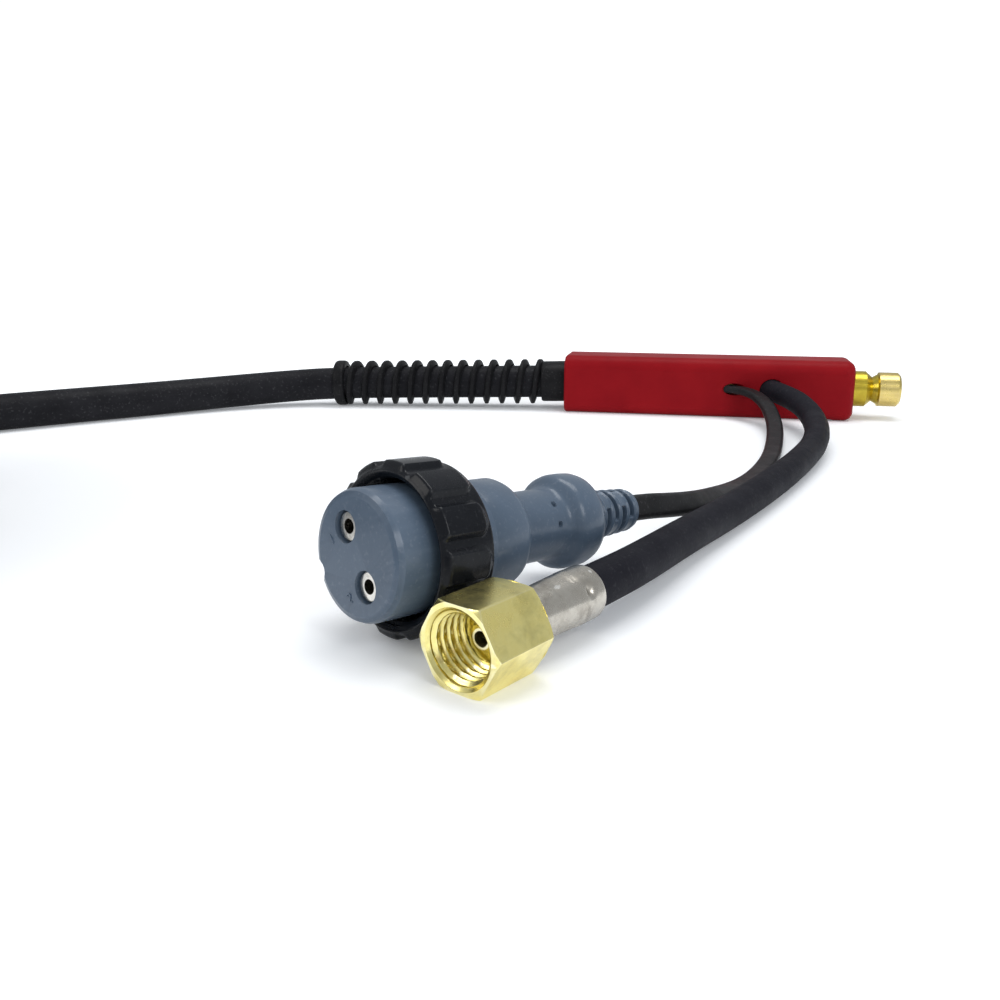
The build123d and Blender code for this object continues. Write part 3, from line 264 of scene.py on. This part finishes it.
RED = plastic("red_moulded", (0.265, 0.006, 0.010), (0.215, 0.004, 0.008), 0.44, 60.0, 2300.0, 0.10, 0.0,
              0.0, (0.45, 0.12, 0.13), 0.06, 0.0, shine=0.06)
GUARD_BLACK = plastic("guard_rubber", (0.007, 0.007, 0.008), (0.012, 0.012, 0.013), 0.44, 120.0, 2600.0, 0.14,
                      0.0, 0.06, (0.30, 0.30, 0.31), 0.1, 0.6, shine=0.08)
CABLE_BLACK = plastic("cable_rubber", (0.008, 0.008, 0.010), (0.015, 0.015, 0.018), 0.48, 90.0, 1700.0, 0.18,
                      0.0, 0.08, (0.26, 0.26, 0.27), 0.12, shine=0.08)
HOSE_GREY = plastic("hose_rubber_grey", (0.009, 0.009, 0.013), (0.015, 0.015, 0.020), 0.58, 110.0, 3000.0, 0.22,
                    0.0, 0.06, (0.22, 0.22, 0.23), 0.1, shine=0.05)
CORD_BLACK = plastic("cord_pvc", (0.010, 0.010, 0.011), (0.020, 0.020, 0.021), 0.38, 140.0, 2400.0, 0.10,
                     0.0, 0.10, (0.25, 0.25, 0.26), 0.1, shine=0.08)
PLUG_GREY = plastic("plug_blue_grey", (0.080, 0.113, 0.160), (0.066, 0.095, 0.136), 0.34, 130.0, 2600.0, 0.10,
                    0.2, 0.10, (0.34, 0.37, 0.42), 0.07, 0.45, shine=0.26)
RING_BLACK = plastic("ring_black_nylon", (0.004, 0.005, 0.007), (0.008, 0.009, 0.012), 0.25, 150.0, 2700.0, 0.10,
                     0.0, 0.03, (0.30, 0.30, 0.31), 0.09, 0.9, shine=0.16)
HANDLE_BLACK = plastic("handle_nylon", (0.013, 0.013, 0.014), (0.021, 0.021, 0.022), 0.5, 150.0, 2100.0, 0.34,
                       0.0, 0.08, (0.25, 0.25, 0.26), 0.08, 0.5)
TRIGGER_RED = plastic("trigger_plastic", (0.36, 0.014, 0.022), (0.28, 0.010, 0.016), 0.33, 200.0, 2300.0, 0.1,
                      0.2, 0.0, (0.5, 0.5, 0.5), 0.06, 0.4)
CERAMIC = plastic("alumina_pink", (0.52, 0.185, 0.125), (0.44, 0.145, 0.100), 0.58, 240.0, 3400.0, 0.28,
                  0.0, 0.2, (0.62, 0.36, 0.30), 0.08, 0.3)
INSULATOR = plastic("white_fluoroplastic", (0.68, 0.66, 0.60), (0.60, 0.58, 0.52), 0.45, 200.0, 2500.0, 0.12)
SEAL = plastic("seal_silicone", (0.33, 0.030, 0.020), (0.26, 0.022, 0.016), 0.5, 240.0, 2500.0, 0.1)
BRASS = metal("bright_brass", (0.96, 0.86, 0.36), (0.90, 0.77, 0.27), 0.24, NUT, 3200.0, 0.12,
              (0.42, 0.37, 0.13), 190.0, 0.45, 0.06, (1.0, 0.96, 0.70))
PIN_BRASS = metal("pin_brass", (0.62, 0.49, 0.06), (0.45, 0.34, 0.04), 0.30, HOUSING, 3000.0, 0.16,
                  (0.18, 0.12, 0.05), 170.0, 0.5, 0.08, (0.85, 0.68, 0.34))
INNER_BRASS = metal("inner_brass", (0.70, 0.50, 0.19), (0.58, 0.40, 0.14), 0.35, HOUSING, 1800.0, 0.2)
NICKEL = metal("nickel_plate", (0.56, 0.53, 0.47), (0.42, 0.39, 0.34), 0.27, NUT, 2600.0, 0.2,
               (0.12, 0.10, 0.08), 330.0, 0.55, 0.09, (0.85, 0.83, 0.78))
SILVER = metal("silver_contact", (0.80, 0.78, 0.73), (0.62, 0.60, 0.55), 0.22, PLUG, 2500.0, 0.12,
               (0.25, 0.22, 0.16), 500.0, 0.4)
STEEL = metal("zinc_screw", (0.50, 0.50, 0.50), (0.38, 0.38, 0.39), 0.34, None, 2500.0, 0.18,
              (0.2, 0.19, 0.17), 500.0, 0.4)
COPPER = metal("bare_copper", (0.80, 0.36, 0.20), (0.62, 0.26, 0.14), 0.32, None, 1500.0, 0.15,
               (0.25, 0.11, 0.07), 220.0, 0.45)
TUNGSTEN = metal("ground_tungsten", (0.42, 0.42, 0.44), (0.33, 0.33, 0.35), 0.30, None, 3500.0, 0.25)
BRAID = metal("copper_braid", (0.78, 0.38, 0.21), (0.55, 0.24, 0.12), 0.38, None, 1900.0, 0.6)


def woven(name, colour, second):
    m, nt, shader = tree(name)
    pos = add(nt, "ShaderNodeTexCoord").outputs["Object"]
    ribs = []
    for direction in ("Z", "DIAGONAL"):
        wave = add(nt, "ShaderNodeTexWave", wave_type="BANDS")
        wave.bands_direction = direction
        wave.inputs["Scale"].default_value = 420.0
        wave.inputs["Distortion"].default_value = 0.6
        nt.links.new(pos, wave.inputs["Vector"])
        ribs.append(wave.outputs["Fac"])
    weave = maths(nt, "MULTIPLY", ribs[0], ribs[1])
    fuzz = noise_of(nt, pos, 2400.0, 3.0)
    nt.links.new(mix_colour(nt, weave, colour, second), shader.inputs["Base Color"])
    nt.links.new(spread(nt, fuzz, 0.75, 0.95), shader.inputs["Roughness"])
    shader.inputs["Sheen Weight"].default_value = 0.35
    bumped(nt, shader, maths(nt, "ADD", weave, maths(nt, "MULTIPLY", fuzz, 0.3)), 0.7, 0.0003)
    return m


TIE_CLOTH = woven("tie_webbing", (0.012, 0.012, 0.014), (0.035, 0.035, 0.038))

# ------------------------------------------------------------------ materials of the CAD pieces
for material, names in (
    (RED, ("housing_lower", "housing_upper")),
    (HANDLE_BLACK, ("handle_lower", "handle_upper", "handle_boot", "head_cover", "back_cap")),
    (PIN_BRASS, ("power_plug",)),
    (INNER_BRASS, ("power_adapter", "crimp_sleeve", "gas_barb", "handle_cable_nut")),
    (BRASS, ("gas_nipple",)),
    (SILVER, ("plug_contacts",)),
    (STEEL, ("housing_screws", "handle_screws", "trigger_spring")),
    (COPPER, ("collet", "collet_body", "head_body", "torch_stem")),
    (BRAID, ("power_conductor",)),
    (TRIGGER_RED, ("trigger",)),
    (CERAMIC, ("ceramic_cup",)),
    (INSULATOR, ("cup_gasket", "trigger_switch")),
    (SEAL, ("back_cap_seal",)),
    (TUNGSTEN, ("tungsten",)),
    (CORD_BLACK, ("control_lead_inner",)),
    (PLUG_GREY, ("plug_insert",)),
    (TIE_CLOTH, ("coil_ties",)),
):
    for name in names:
        paint(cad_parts[name], material)


def soften(name, width, limit=38):
    """Rounds the crisp edges of a moulded CAD piece."""
    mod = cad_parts[name].modifiers.new("soft_edges", "BEVEL")
    mod.width = width * MM
    mod.segments = 3
    mod.limit_method = "ANGLE"
    mod.angle_limit = math.radians(limit)
    mod.harden_normals = True


soften("plug_insert", 0.28)
soften("trigger", 0.3)


# ------------------------------------------------------------------ mesh builders
def new_piece(name, verts, faces, material, body, sharp, replaces=()):
    mesh = bpy.data.meshes.new(name)
    mesh.from_pydata([tuple(v) for v in verts], [], faces)
    mesh.update()
    for poly in mesh.polygons:
        poly.use_smooth = True
    mesh.set_sharp_from_angle(angle=math.radians(sharp))
    obj = bpy.data.objects.new(name, mesh)
    bpy.context.collection.objects.link(obj)
    obj.data.materials.append(material)
    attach(obj, body)
    if replaces:
        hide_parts(*replaces)
    return obj


def lathe(verts, faces, axle, rows, n):
    """Adds a closed loop of rows, each (distance, radius) or a function of the turn, joined round the axis."""
    base, count = len(verts), len(rows)
    for row in rows:
        for k in range(n):
            turn = FULL_TURN * k / n
            s, r = row(turn) if callable(row) else row
            verts.append(axle.at(s, r, turn))
    for i in range(count):
        j = (i + 1) % count
        for k in range(n):
            m = (k + 1) % n
            faces.append((base + i * n + k, base + j * n + k, base + j * n + m, base + i * n + m))


def turned(name, axle, rows, n, material, body, sharp, replaces):
    verts, faces = [], []
    lathe(verts, faces, axle, rows, n)
    return new_piece(name, verts, faces, material, body, sharp, replaces)


def rows_between(a, b, count):
    return [(a[0] + (b[0] - a[0]) * t / count, a[1] + (b[1] - a[1]) * t / count) for t in range(count)]


def smooth(edge0, edge1, x):
    t = max(0.0, min(1.0, (x - edge0) / (edge1 - edge0)))
    return t * t * (3 - 2 * t)


def wedge(turn, centre, period):
    """Signed distance in turn from the nearest of the evenly spaced centres."""
    d = (turn - centre) % period
    return d - period if d > period / 2 else d


def thread(s, turn, pitch):
    """0 at the root and 1 at the crest of a helical thread with small flats."""
    phase = (s / pitch - turn / (2 * math.pi)) % 1.0
    return max(0.0, min(1.0, 1.65 * (1 - 2 * abs(phase - 0.5)) - 0.28))


# ------------------------------------------------------------------ gas union nut
AF, CORNER, NUT_L = 14.0, 8.05, 13.3
THREAD_R, THREAD_DEPTH, THREAD_PITCH = 5.98, 0.72, 1.5


def hexagon(turn):
    off = wedge(turn, math.radians(30), math.radians(60))
    return min(AF / 2 / math.cos(off), CORNER)


def nut_outer(s):
    def row(turn):
        cone = min(7.28 + s * 1.7, 7.36 + (NUT_L - s) * 1.7)
        return s, min(hexagon(turn), cone)
    return row


def nut_thread(s):
    def row(turn):
        fade = smooth(0.4, 1.3, s) * smooth(9.9, 9.2, s)
        return s, THREAD_R - THREAD_DEPTH * fade * thread(s, turn, THREAD_PITCH)
    return row


nut_rows = [(0.12, 6.42), (0.03, 6.50), (0.0, 6.62)]
nut_rows += [nut_outer(0.02 + 0.09 * k) for k in range(12)]
nut_rows += [nut_outer(1.1 + 11.1 * k / 14) for k in range(15)]
nut_rows += [nut_outer(12.3 + 0.98 * k / 10) for k in range(11)]
nut_rows += [(NUT_L, 7.1), (NUT_L, 4.6), (NUT_L - 0.3, 4.25), (NUT_L - 0.8, 4.22), (10.7, 4.22), (9.95, 5.95)]
nut_rows += [nut_thread(9.85 - 0.09 * k) for k in range(104)]
nut_rows += [(0.45, 6.06), (0.3, 6.2)]
nut = turned("gas_nut_detail", NUT, nut_rows, 216, BRASS, "gas_nut", 28, ("gas_nut",))

# ------------------------------------------------------------------ crimped ferrule
LOW, HIGH = 13.7, 32.2
DENT_AT, DENT_DEEP, FERRULE_R = 28.2, 0.5, 4.9


def ferrule_outer(s, r):
    def row(turn):
        dent = 0.0
        for third in range(3):
            across = wedge(turn, 0.5 + third * FULL_TURN / 3, FULL_TURN) * FERRULE_R
            dent += DENT_DEEP * math.exp(-((s - DENT_AT) / 0.75) ** 2 - (across / 1.1) ** 2)
        ripple = 0.05 * math.sin(turn * 3 + s * 0.35) + 0.03 * math.sin(turn * 7 + 1.3)
        return s, r - dent + ripple * smooth(LOW, LOW + 3, s)
    return row


ferrule_rows = [(LOW, 3.6), (LOW, 4.1), (LOW + 0.35, 4.35)]
ferrule_rows += [ferrule_outer(LOW + 0.6 + 11.2 * k / 22, 4.42 + 0.30 * k / 22) for k in range(23)]
ferrule_rows += [ferrule_outer(25.6 + 6.2 * k / 30, 4.74 + 0.1 * smooth(0, 8, k)) for k in range(31)]
ferrule_rows += [(HIGH - 0.1, 4.76), (HIGH, 4.62), (HIGH, 4.12), (HIGH - 0.5, 4.04), (HIGH - 1.5, 4.02),
                 (LOW + 0.5, 3.7)]
ferrule = turned("gas_ferrule_detail", NUT, ferrule_rows, 120, NICKEL, ROOT, 30, ("gas_ferrule",))

# ------------------------------------------------------------------ black coupling ring
GRIPS = 12
RING_BODY_R, PAD_RISE = 14.05, 0.93


def ring_outer(s):
    def row(turn):
        across = abs(wedge(turn, math.radians(90), FULL_TURN / GRIPS)) * RING_R
        half = 2.55 - 1.6 * smooth(14.2, 17.0, s) ** 2
        pad = smooth(half + 0.75, half - 0.35, across)
        pad *= smooth(RING_LOW + 0.1, RING_LOW + 1.1, s) * smooth(17.2, 15.2, s)
        body = RING_BODY_R - 0.9 * smooth(16.9, 18.0, s) ** 2 - 0.55 * smooth(RING_LOW + 0.8, RING_LOW, s)
        return s, body + PAD_RISE * pad
    return row


def ring_thread(s):
    def row(turn):
        fade = smooth(RING_LOW + 0.5, RING_LOW + 1.4, s) * smooth(15.0, 14.2, s)
        return s, 12.5 - 0.55 * fade * thread(s, turn, 1.25)
    return row


ring_rows = [(RING_LOW + 0.25, 12.95), (RING_LOW + 0.05, 13.15), (RING_LOW, 13.35)]
ring_rows += [ring_outer(RING_LOW + 0.06 + 11.5 * k / 58) for k in range(59)]
ring_rows += [(RING_HIGH, 12.9), (RING_HIGH, 9.35), (RING_HIGH - 0.1, 9.28), (15.0, 9.28), (15.0, 12.4)]
ring_rows += [ring_thread(14.95 - 0.115 * k) for k in range(70)]
ring = turned("coupling_ring_detail", PLUG, ring_rows, 288, RING_BLACK, "coupling_ring", 34,
              ("coupling_ring",))

# ------------------------------------------------------------------ grey plug body and its flexible boot
BARREL_R, BARREL_FROM, BARREL_TO = 6.8, 34.5, 43.3
BOOT_FROM, SLOT_FROM, SLOT_PITCH, SLOTS = 54.3, 55.6, 2.6, 5
BODY_PROFILE = (
    (13.06, 7.46), (13.06, 9.18), (18.15, 9.18), (18.15, 9.75), (18.45, 10.15), (18.9, 10.28),
    (21.9, 10.28), (22.05, 10.02), (22.3, 10.0), (22.45, 10.05), (29.6, 10.05), (30.6, 9.65),
    (31.2, 8.9), (31.5, 7.8), (32.3, 7.1), (34.0, 6.82), (43.4, 6.8), (44.2, 6.95), (44.8, 7.3),
    (45.3, 7.9), (45.8, 8.5), (46.5, 8.95), (47.5, 9.17), (49.5, 9.2), (51.2, 9.12), (52.3, 8.8),
    (53.0, 8.1), (53.5, 6.9), (53.7, 5.8), (54.1, 5.1),
)


def body_row(s, r):
    def row(turn):
        deep = 0.0
        for centre in (13, 47, 193, 227):
            across = wedge(turn, math.radians(centre), FULL_TURN) * BARREL_R
            deep += 0.75 * smooth(0.60, 0.38, math.hypot(across, s - 41.8))
        return s, r - deep
    return row


def boot_row(s):
    def row(turn):
        base = 5.0 - 0.85 * (s - BOOT_FROM) / 15.0
        which = int((s - SLOT_FROM) // SLOT_PITCH)
        start = SLOT_FROM + SLOT_PITCH * which
        inside = smooth(0.0, 0.25, s - start) * smooth(1.4, 1.15, s - start)
        centre = math.radians(55 + (90 if which % 2 else 0))
        across = abs(wedge(turn, centre, math.pi))
        live = 0 <= which < SLOTS
        cut = inside * smooth(1.12, 0.98, across) if live else 0.0
        lip = 0.25 * smooth(0.6, 0.0, abs(s - start - 2.0)) if live else 0.0
        return s, base + lip - 1.6 * cut
    return row


body_rows = []
for a, b in zip(BODY_PROFILE, BODY_PROFILE[1:]):
    for s, r in rows_between(a, b, 84 if a[0] == 34.0 else 1):
        body_rows.append(body_row(s, r) if BARREL_FROM < s < BARREL_TO else (s, r))
body_rows += [boot_row(BOOT_FROM + 0.125 * k) for k in range(120)]
body_rows += [(69.3, 4.05), (69.5, 3.8), (69.5, 3.0), (69.2, 2.92), (62.0, 2.92), (62.0, 0.4), (21.06, 0.4),
              (21.06, 7.46)]
body = turned("plug_body_detail", PLUG, body_rows, 180, PLUG_GREY, ROOT, 36, ("plug_body",))


# ------------------------------------------------------------------ numerals beside the sockets
def numeral(text, radius, angle, lean):
    data = bpy.data.curves.new("numeral_" + text, "FONT")
    data.body = text
    data.size = 2.3 * MM
    data.extrude = 0.10 * MM
    data.bevel_depth = 0.03 * MM
    data.align_x = "CENTER"
    data.align_y = "CENTER"
    obj = bpy.data.objects.new("numeral_" + text, data)
    bpy.context.collection.objects.link(obj)
    right, up, back = -PLUG.left, PLUG.up, -PLUG.x
    turn = Matrix((right, up, back)).transposed().to_4x4()
    spot = Matrix.Translation(PLUG.at(-0.05, radius, math.radians(angle)))
    obj.matrix_world = spot @ turn @ Matrix.Rotation(math.radians(lean), 4, "Z")
    data.materials.append(PLUG_GREY)
    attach(obj, ROOT)
    return obj


numeral_1 = numeral("1", 6.4, 166, 40)
numeral_2 = numeral("2", 7.2, 262, 20)


# ------------------------------------------------------------------ bayonet lug on the pin
LUG_AT, LUG_HALF, LUG_RISE, LUG_SWEEP = 68.6, 0.85, 0.34, 38
verts, faces = [], []
for i in range(9):
    share = i / 8
    rise = LUG_RISE * math.sin(math.pi * share) ** 0.4 if 0 < share < 1 else 0.0
    turn = math.radians(180 - (share - 0.5) * LUG_SWEEP)
    for k in range(7):
        across = -1 + 2 * k / 6
        lift = rise * max(0.0, 1 - across ** 4)
        verts.append(HOUSING.at(LUG_AT + across * LUG_HALF, 6.42 + lift, turn))
for i in range(8):
    for k in range(6):
        faces.append((i * 7 + k, i * 7 + k + 1, i * 7 + k + 8, i * 7 + k + 7))
new_piece("pin_lug", verts, faces, PIN_BRASS, ROOT, 40)


# ------------------------------------------------------------------ helical bend guard
def swept_band(points, frames, section):
    """A closed section carried along a line, with an end face at each end."""
    verts, faces = [], []
    n = len(section)
    for point, (across, out) in zip(points, frames):
        for a, o in section:
            verts.append(point + across * a + out * o)
    for i in range(len(points) - 1):
        for k in range(n):
            m = (k + 1) % n
            faces.append((i * n + k, i * n + m, (i + 1) * n + m, (i + 1) * n + k))
    faces.append(tuple(range(n))[::-1])
    faces.append(tuple(range((len(points) - 1) * n, len(points) * n)))
    return verts, faces


TURN_LOW, TURN_HIGH, PITCH, RIDGE_R, PER_TURN = 14.6, 98.4, 6.4, 8.05, 44
points, frames = [], []
for k in range(int((TURN_HIGH - TURN_LOW) / PITCH * PER_TURN) + 1):
    turn = FULL_TURN * k / PER_TURN
    s = TURN_LOW + PITCH * k / PER_TURN
    out = -GUARD.left * math.cos(turn) + GUARD.up * math.sin(turn)
    points.append(GUARD.at(s, RIDGE_R, turn))
    frames.append((GUARD.x, out))
section = [(a * MM, o * MM) for a, o in (
    (1.45, -0.95), (1.3, -0.45), (0.95, 0.35), (0.8, 0.8), (0.5, 1.02), (-0.5, 1.02), (-0.8, 0.8), (-0.95, 0.35),
    (-1.3, -0.45), (-1.45, -0.95))]
verts, faces = swept_band(points, frames, section)
lathe(verts, faces, GUARD, (
    (-0.6, 7.2), (1.0, 7.2), (1.0, 7.05), (15.2, 7.05), (15.5, 7.3), (15.5, 7.7), (15.2, 8.0), (14.7, 8.15),
    (10.0, 8.2), (4.0, 8.2), (1.0, 8.2), (1.0, 9.55), (-0.6, 9.55)), 96)
lathe(verts, faces, GUARD, (
    (97.1, 7.05), (101.5, 7.5), (101.5, 8.55), (101.3, 8.9), (100.9, 9.15), (100.3, 9.25), (98.3, 9.25),
    (97.7, 9.15), (97.3, 8.9), (97.1, 8.55)), 96)
new_piece("bend_guard_detail", verts, faces, GUARD_BLACK, ROOT, 34, ("bend_relief",))


# ------------------------------------------------------------------ cords
def nurbs_line(name, pts, resolution):
    """A smooth open line whose control points are the route's points."""
    data = bpy.data.curves.new(name, "CURVE")
    data.dimensions = "3D"
    spline = data.splines.new("NURBS")
    spline.points.add(len(pts) - 1)
    for p, co in zip(spline.points, pts):
        p.co = (*(Vector(co) * MM), 1)
    spline.order_u = 3
    spline.use_endpoint_u = True
    spline.resolution_u = resolution
    obj = bpy.data.objects.new(name, data)
    bpy.context.collection.objects.link(obj)
    return obj


def spline_cord(name, pts, radius, material, nodes, resolution):
    obj = nurbs_line(name, pts, resolution)
    obj.data.bevel_depth = radius * MM
    obj.data.bevel_resolution = 7
    obj.data.use_fill_caps = True
    obj.data.materials.append(material)
    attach(obj, ROOT)
    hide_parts(*nodes)
    return obj


def route_points(pts, resolution):
    """Points read from the route's own NURBS line."""
    obj = nurbs_line("line", pts, resolution)
    data = obj.data
    line = bpy.data.meshes.new_from_object(obj)
    found = [v.co.copy() for v in line.vertices]
    bpy.data.objects.remove(obj)
    bpy.data.curves.remove(data)
    bpy.data.meshes.remove(line)
    return found


HOSE_ROUTE = (
    (23.9, -9.2, 11.25), (26.5, -15.9, 11.25), (34.4, -33.0, 9.6), (37.6, -56.0, 6.4), (34.8, -82.0, 4.7),
    (26.6, -112.0, 4.1), (15.0, -146.8, 4.1), (5.0, -173.4, 4.4), (-3.4, -195.5, 5.2), (-9.6, -216.0, 6.6),
    (-15.2, -230.2, 7.0), (-26.8, -252.5, 7.0),
)
hose = spline_cord("gas_hose_soft", HOSE_ROUTE, 4.0, HOSE_GREY, ("gas_hose",), 14)

# The coil: the middle, each turn's radius and height in the 2 x 4 bundle, and the degrees that it winds.
COIL = Vector((-250.6, -244.4, 0))
INNER, OUTER = 68.5, 81.5
CELLS = ((OUTER, 8.2), (INNER, 8.2), (INNER, 21.2), (OUTER, 21.2), (OUTER, 34.2), (INNER, 34.2), (INNER, 47.2),
         (OUTER, 47.2))
COIL_START, COIL_WOUND = 156, 7 * 360 + 34
STEP, SHIFT, CLIMB = 360 / 16, 28.0, 24
CELL_TURN = 360 - SHIFT
LIFT = 1 / math.cos(math.radians(STEP / 2))

cable_route = [
    (-40.0, 0.0, 11.25), (-50.5, 0.0, 11.25), (-100.0, -5.1, 10.2), (-152.0, -11.2, 9.2), (-172.7, -18.7, 8.0),
    (-192.6, -32.1, 7.0), (-213.4, -53.7, 6.6), (-236.4, -78.8, 6.6), (-259.0, -106.8, 6.7),
    (-285.5, -141.9, 7.2), (-308.8, -179.2, 7.9),
]
angle = STEP / 2
while angle < COIL_WOUND:
    cell, into = min(int(angle // CELL_TURN), 7), angle % CELL_TURN
    radius, height = CELLS[cell]
    if cell < 7 and into > CELL_TURN - CLIMB:
        share = smooth(0, 1, (into - (CELL_TURN - CLIMB)) / CLIMB)
        radius += (CELLS[cell + 1][0] - radius) * share
        height += (CELLS[cell + 1][1] - height) * share
    turn = math.radians(COIL_START + angle)
    spot = COIL + Vector((math.cos(turn), math.sin(turn), 0)) * radius * LIFT
    cable_route.append((spot.x, spot.y, height))
    angle += STEP
cable_route += [
    (-331.4, -262.0, 46.7), (-328.2, -284.5, 41.5), (-320.5, -311.4, 31.0), (-304.0, -334.1, 23.0),
    (-281.0, -351.0, 17.0), (-256.0, -360.0, 14.0), (-208.0, -360.0, 14.0), (-186.5, -360.0, 14.0),
]
cable = spline_cord("power_cable_soft", cable_route, 6.5, CABLE_BLACK,
                    ("main_cable_run", "main_cable_coil", "main_cable_tail"), 8)

TWIN_ROUTE = (
    (8.5, -10.4, 11.25), (12.9, -13.2, 11.25), (18.2, -18.4, 10.6), (22.4, -27.0, 8.2), (24.2, -40.0, 5.2),
    (24.2, -54.0, 3.2), (23.0, -70.0, 2.0), (21.2, -88.0, 1.8), (18.2, -106.0, 1.8), (14.4, -122.0, 2.0),
    (10.8, -133.6, 2.5), (7.2, -143.8, 3.2), (3.8, -153.5, 4.1), (0.7, -163.0, 5.2), (-2.6, -172.0, 6.6),
    (-6.4, -180.6, 8.2), (-10.9, -188.6, 9.8), (-15.7, -196.1, 10.8), (-20.6, -203.8, 11.3),
)

twin_line = route_points(TWIN_ROUTE, 16)
STRAND_R, TWIST = 1.4, -68
frames = []
for k in range(len(twin_line)):
    ahead = (twin_line[min(k + 1, len(twin_line) - 1)] - twin_line[max(k - 1, 0)]).normalized()
    side = Vector((0, 0, 1)).cross(ahead).normalized()
    rise = ahead.cross(side)
    lean = math.radians(TWIST) * smooth(0.55, 0.85, k / (len(twin_line) - 1))
    frames.append((side * math.cos(lean) + rise * math.sin(lean), rise * math.cos(lean) - side * math.sin(lean)))
twin_section = []
for k in range(36):
    t = FULL_TURN * k / 36
    x = STRAND_R * math.cos(t) + math.copysign(STRAND_R, math.cos(t) + 1e-9)
    y = STRAND_R * math.sin(t)
    pinch = 1.0 - 0.72 * math.exp(-(x / 0.75) ** 2)
    twin_section.append((x * MM, y * pinch * MM))
verts, faces = swept_band(twin_line, frames, twin_section)
twin = new_piece("control_cord_soft", verts, faces, CORD_BLACK, ROOT, 50, ("control_cable",))
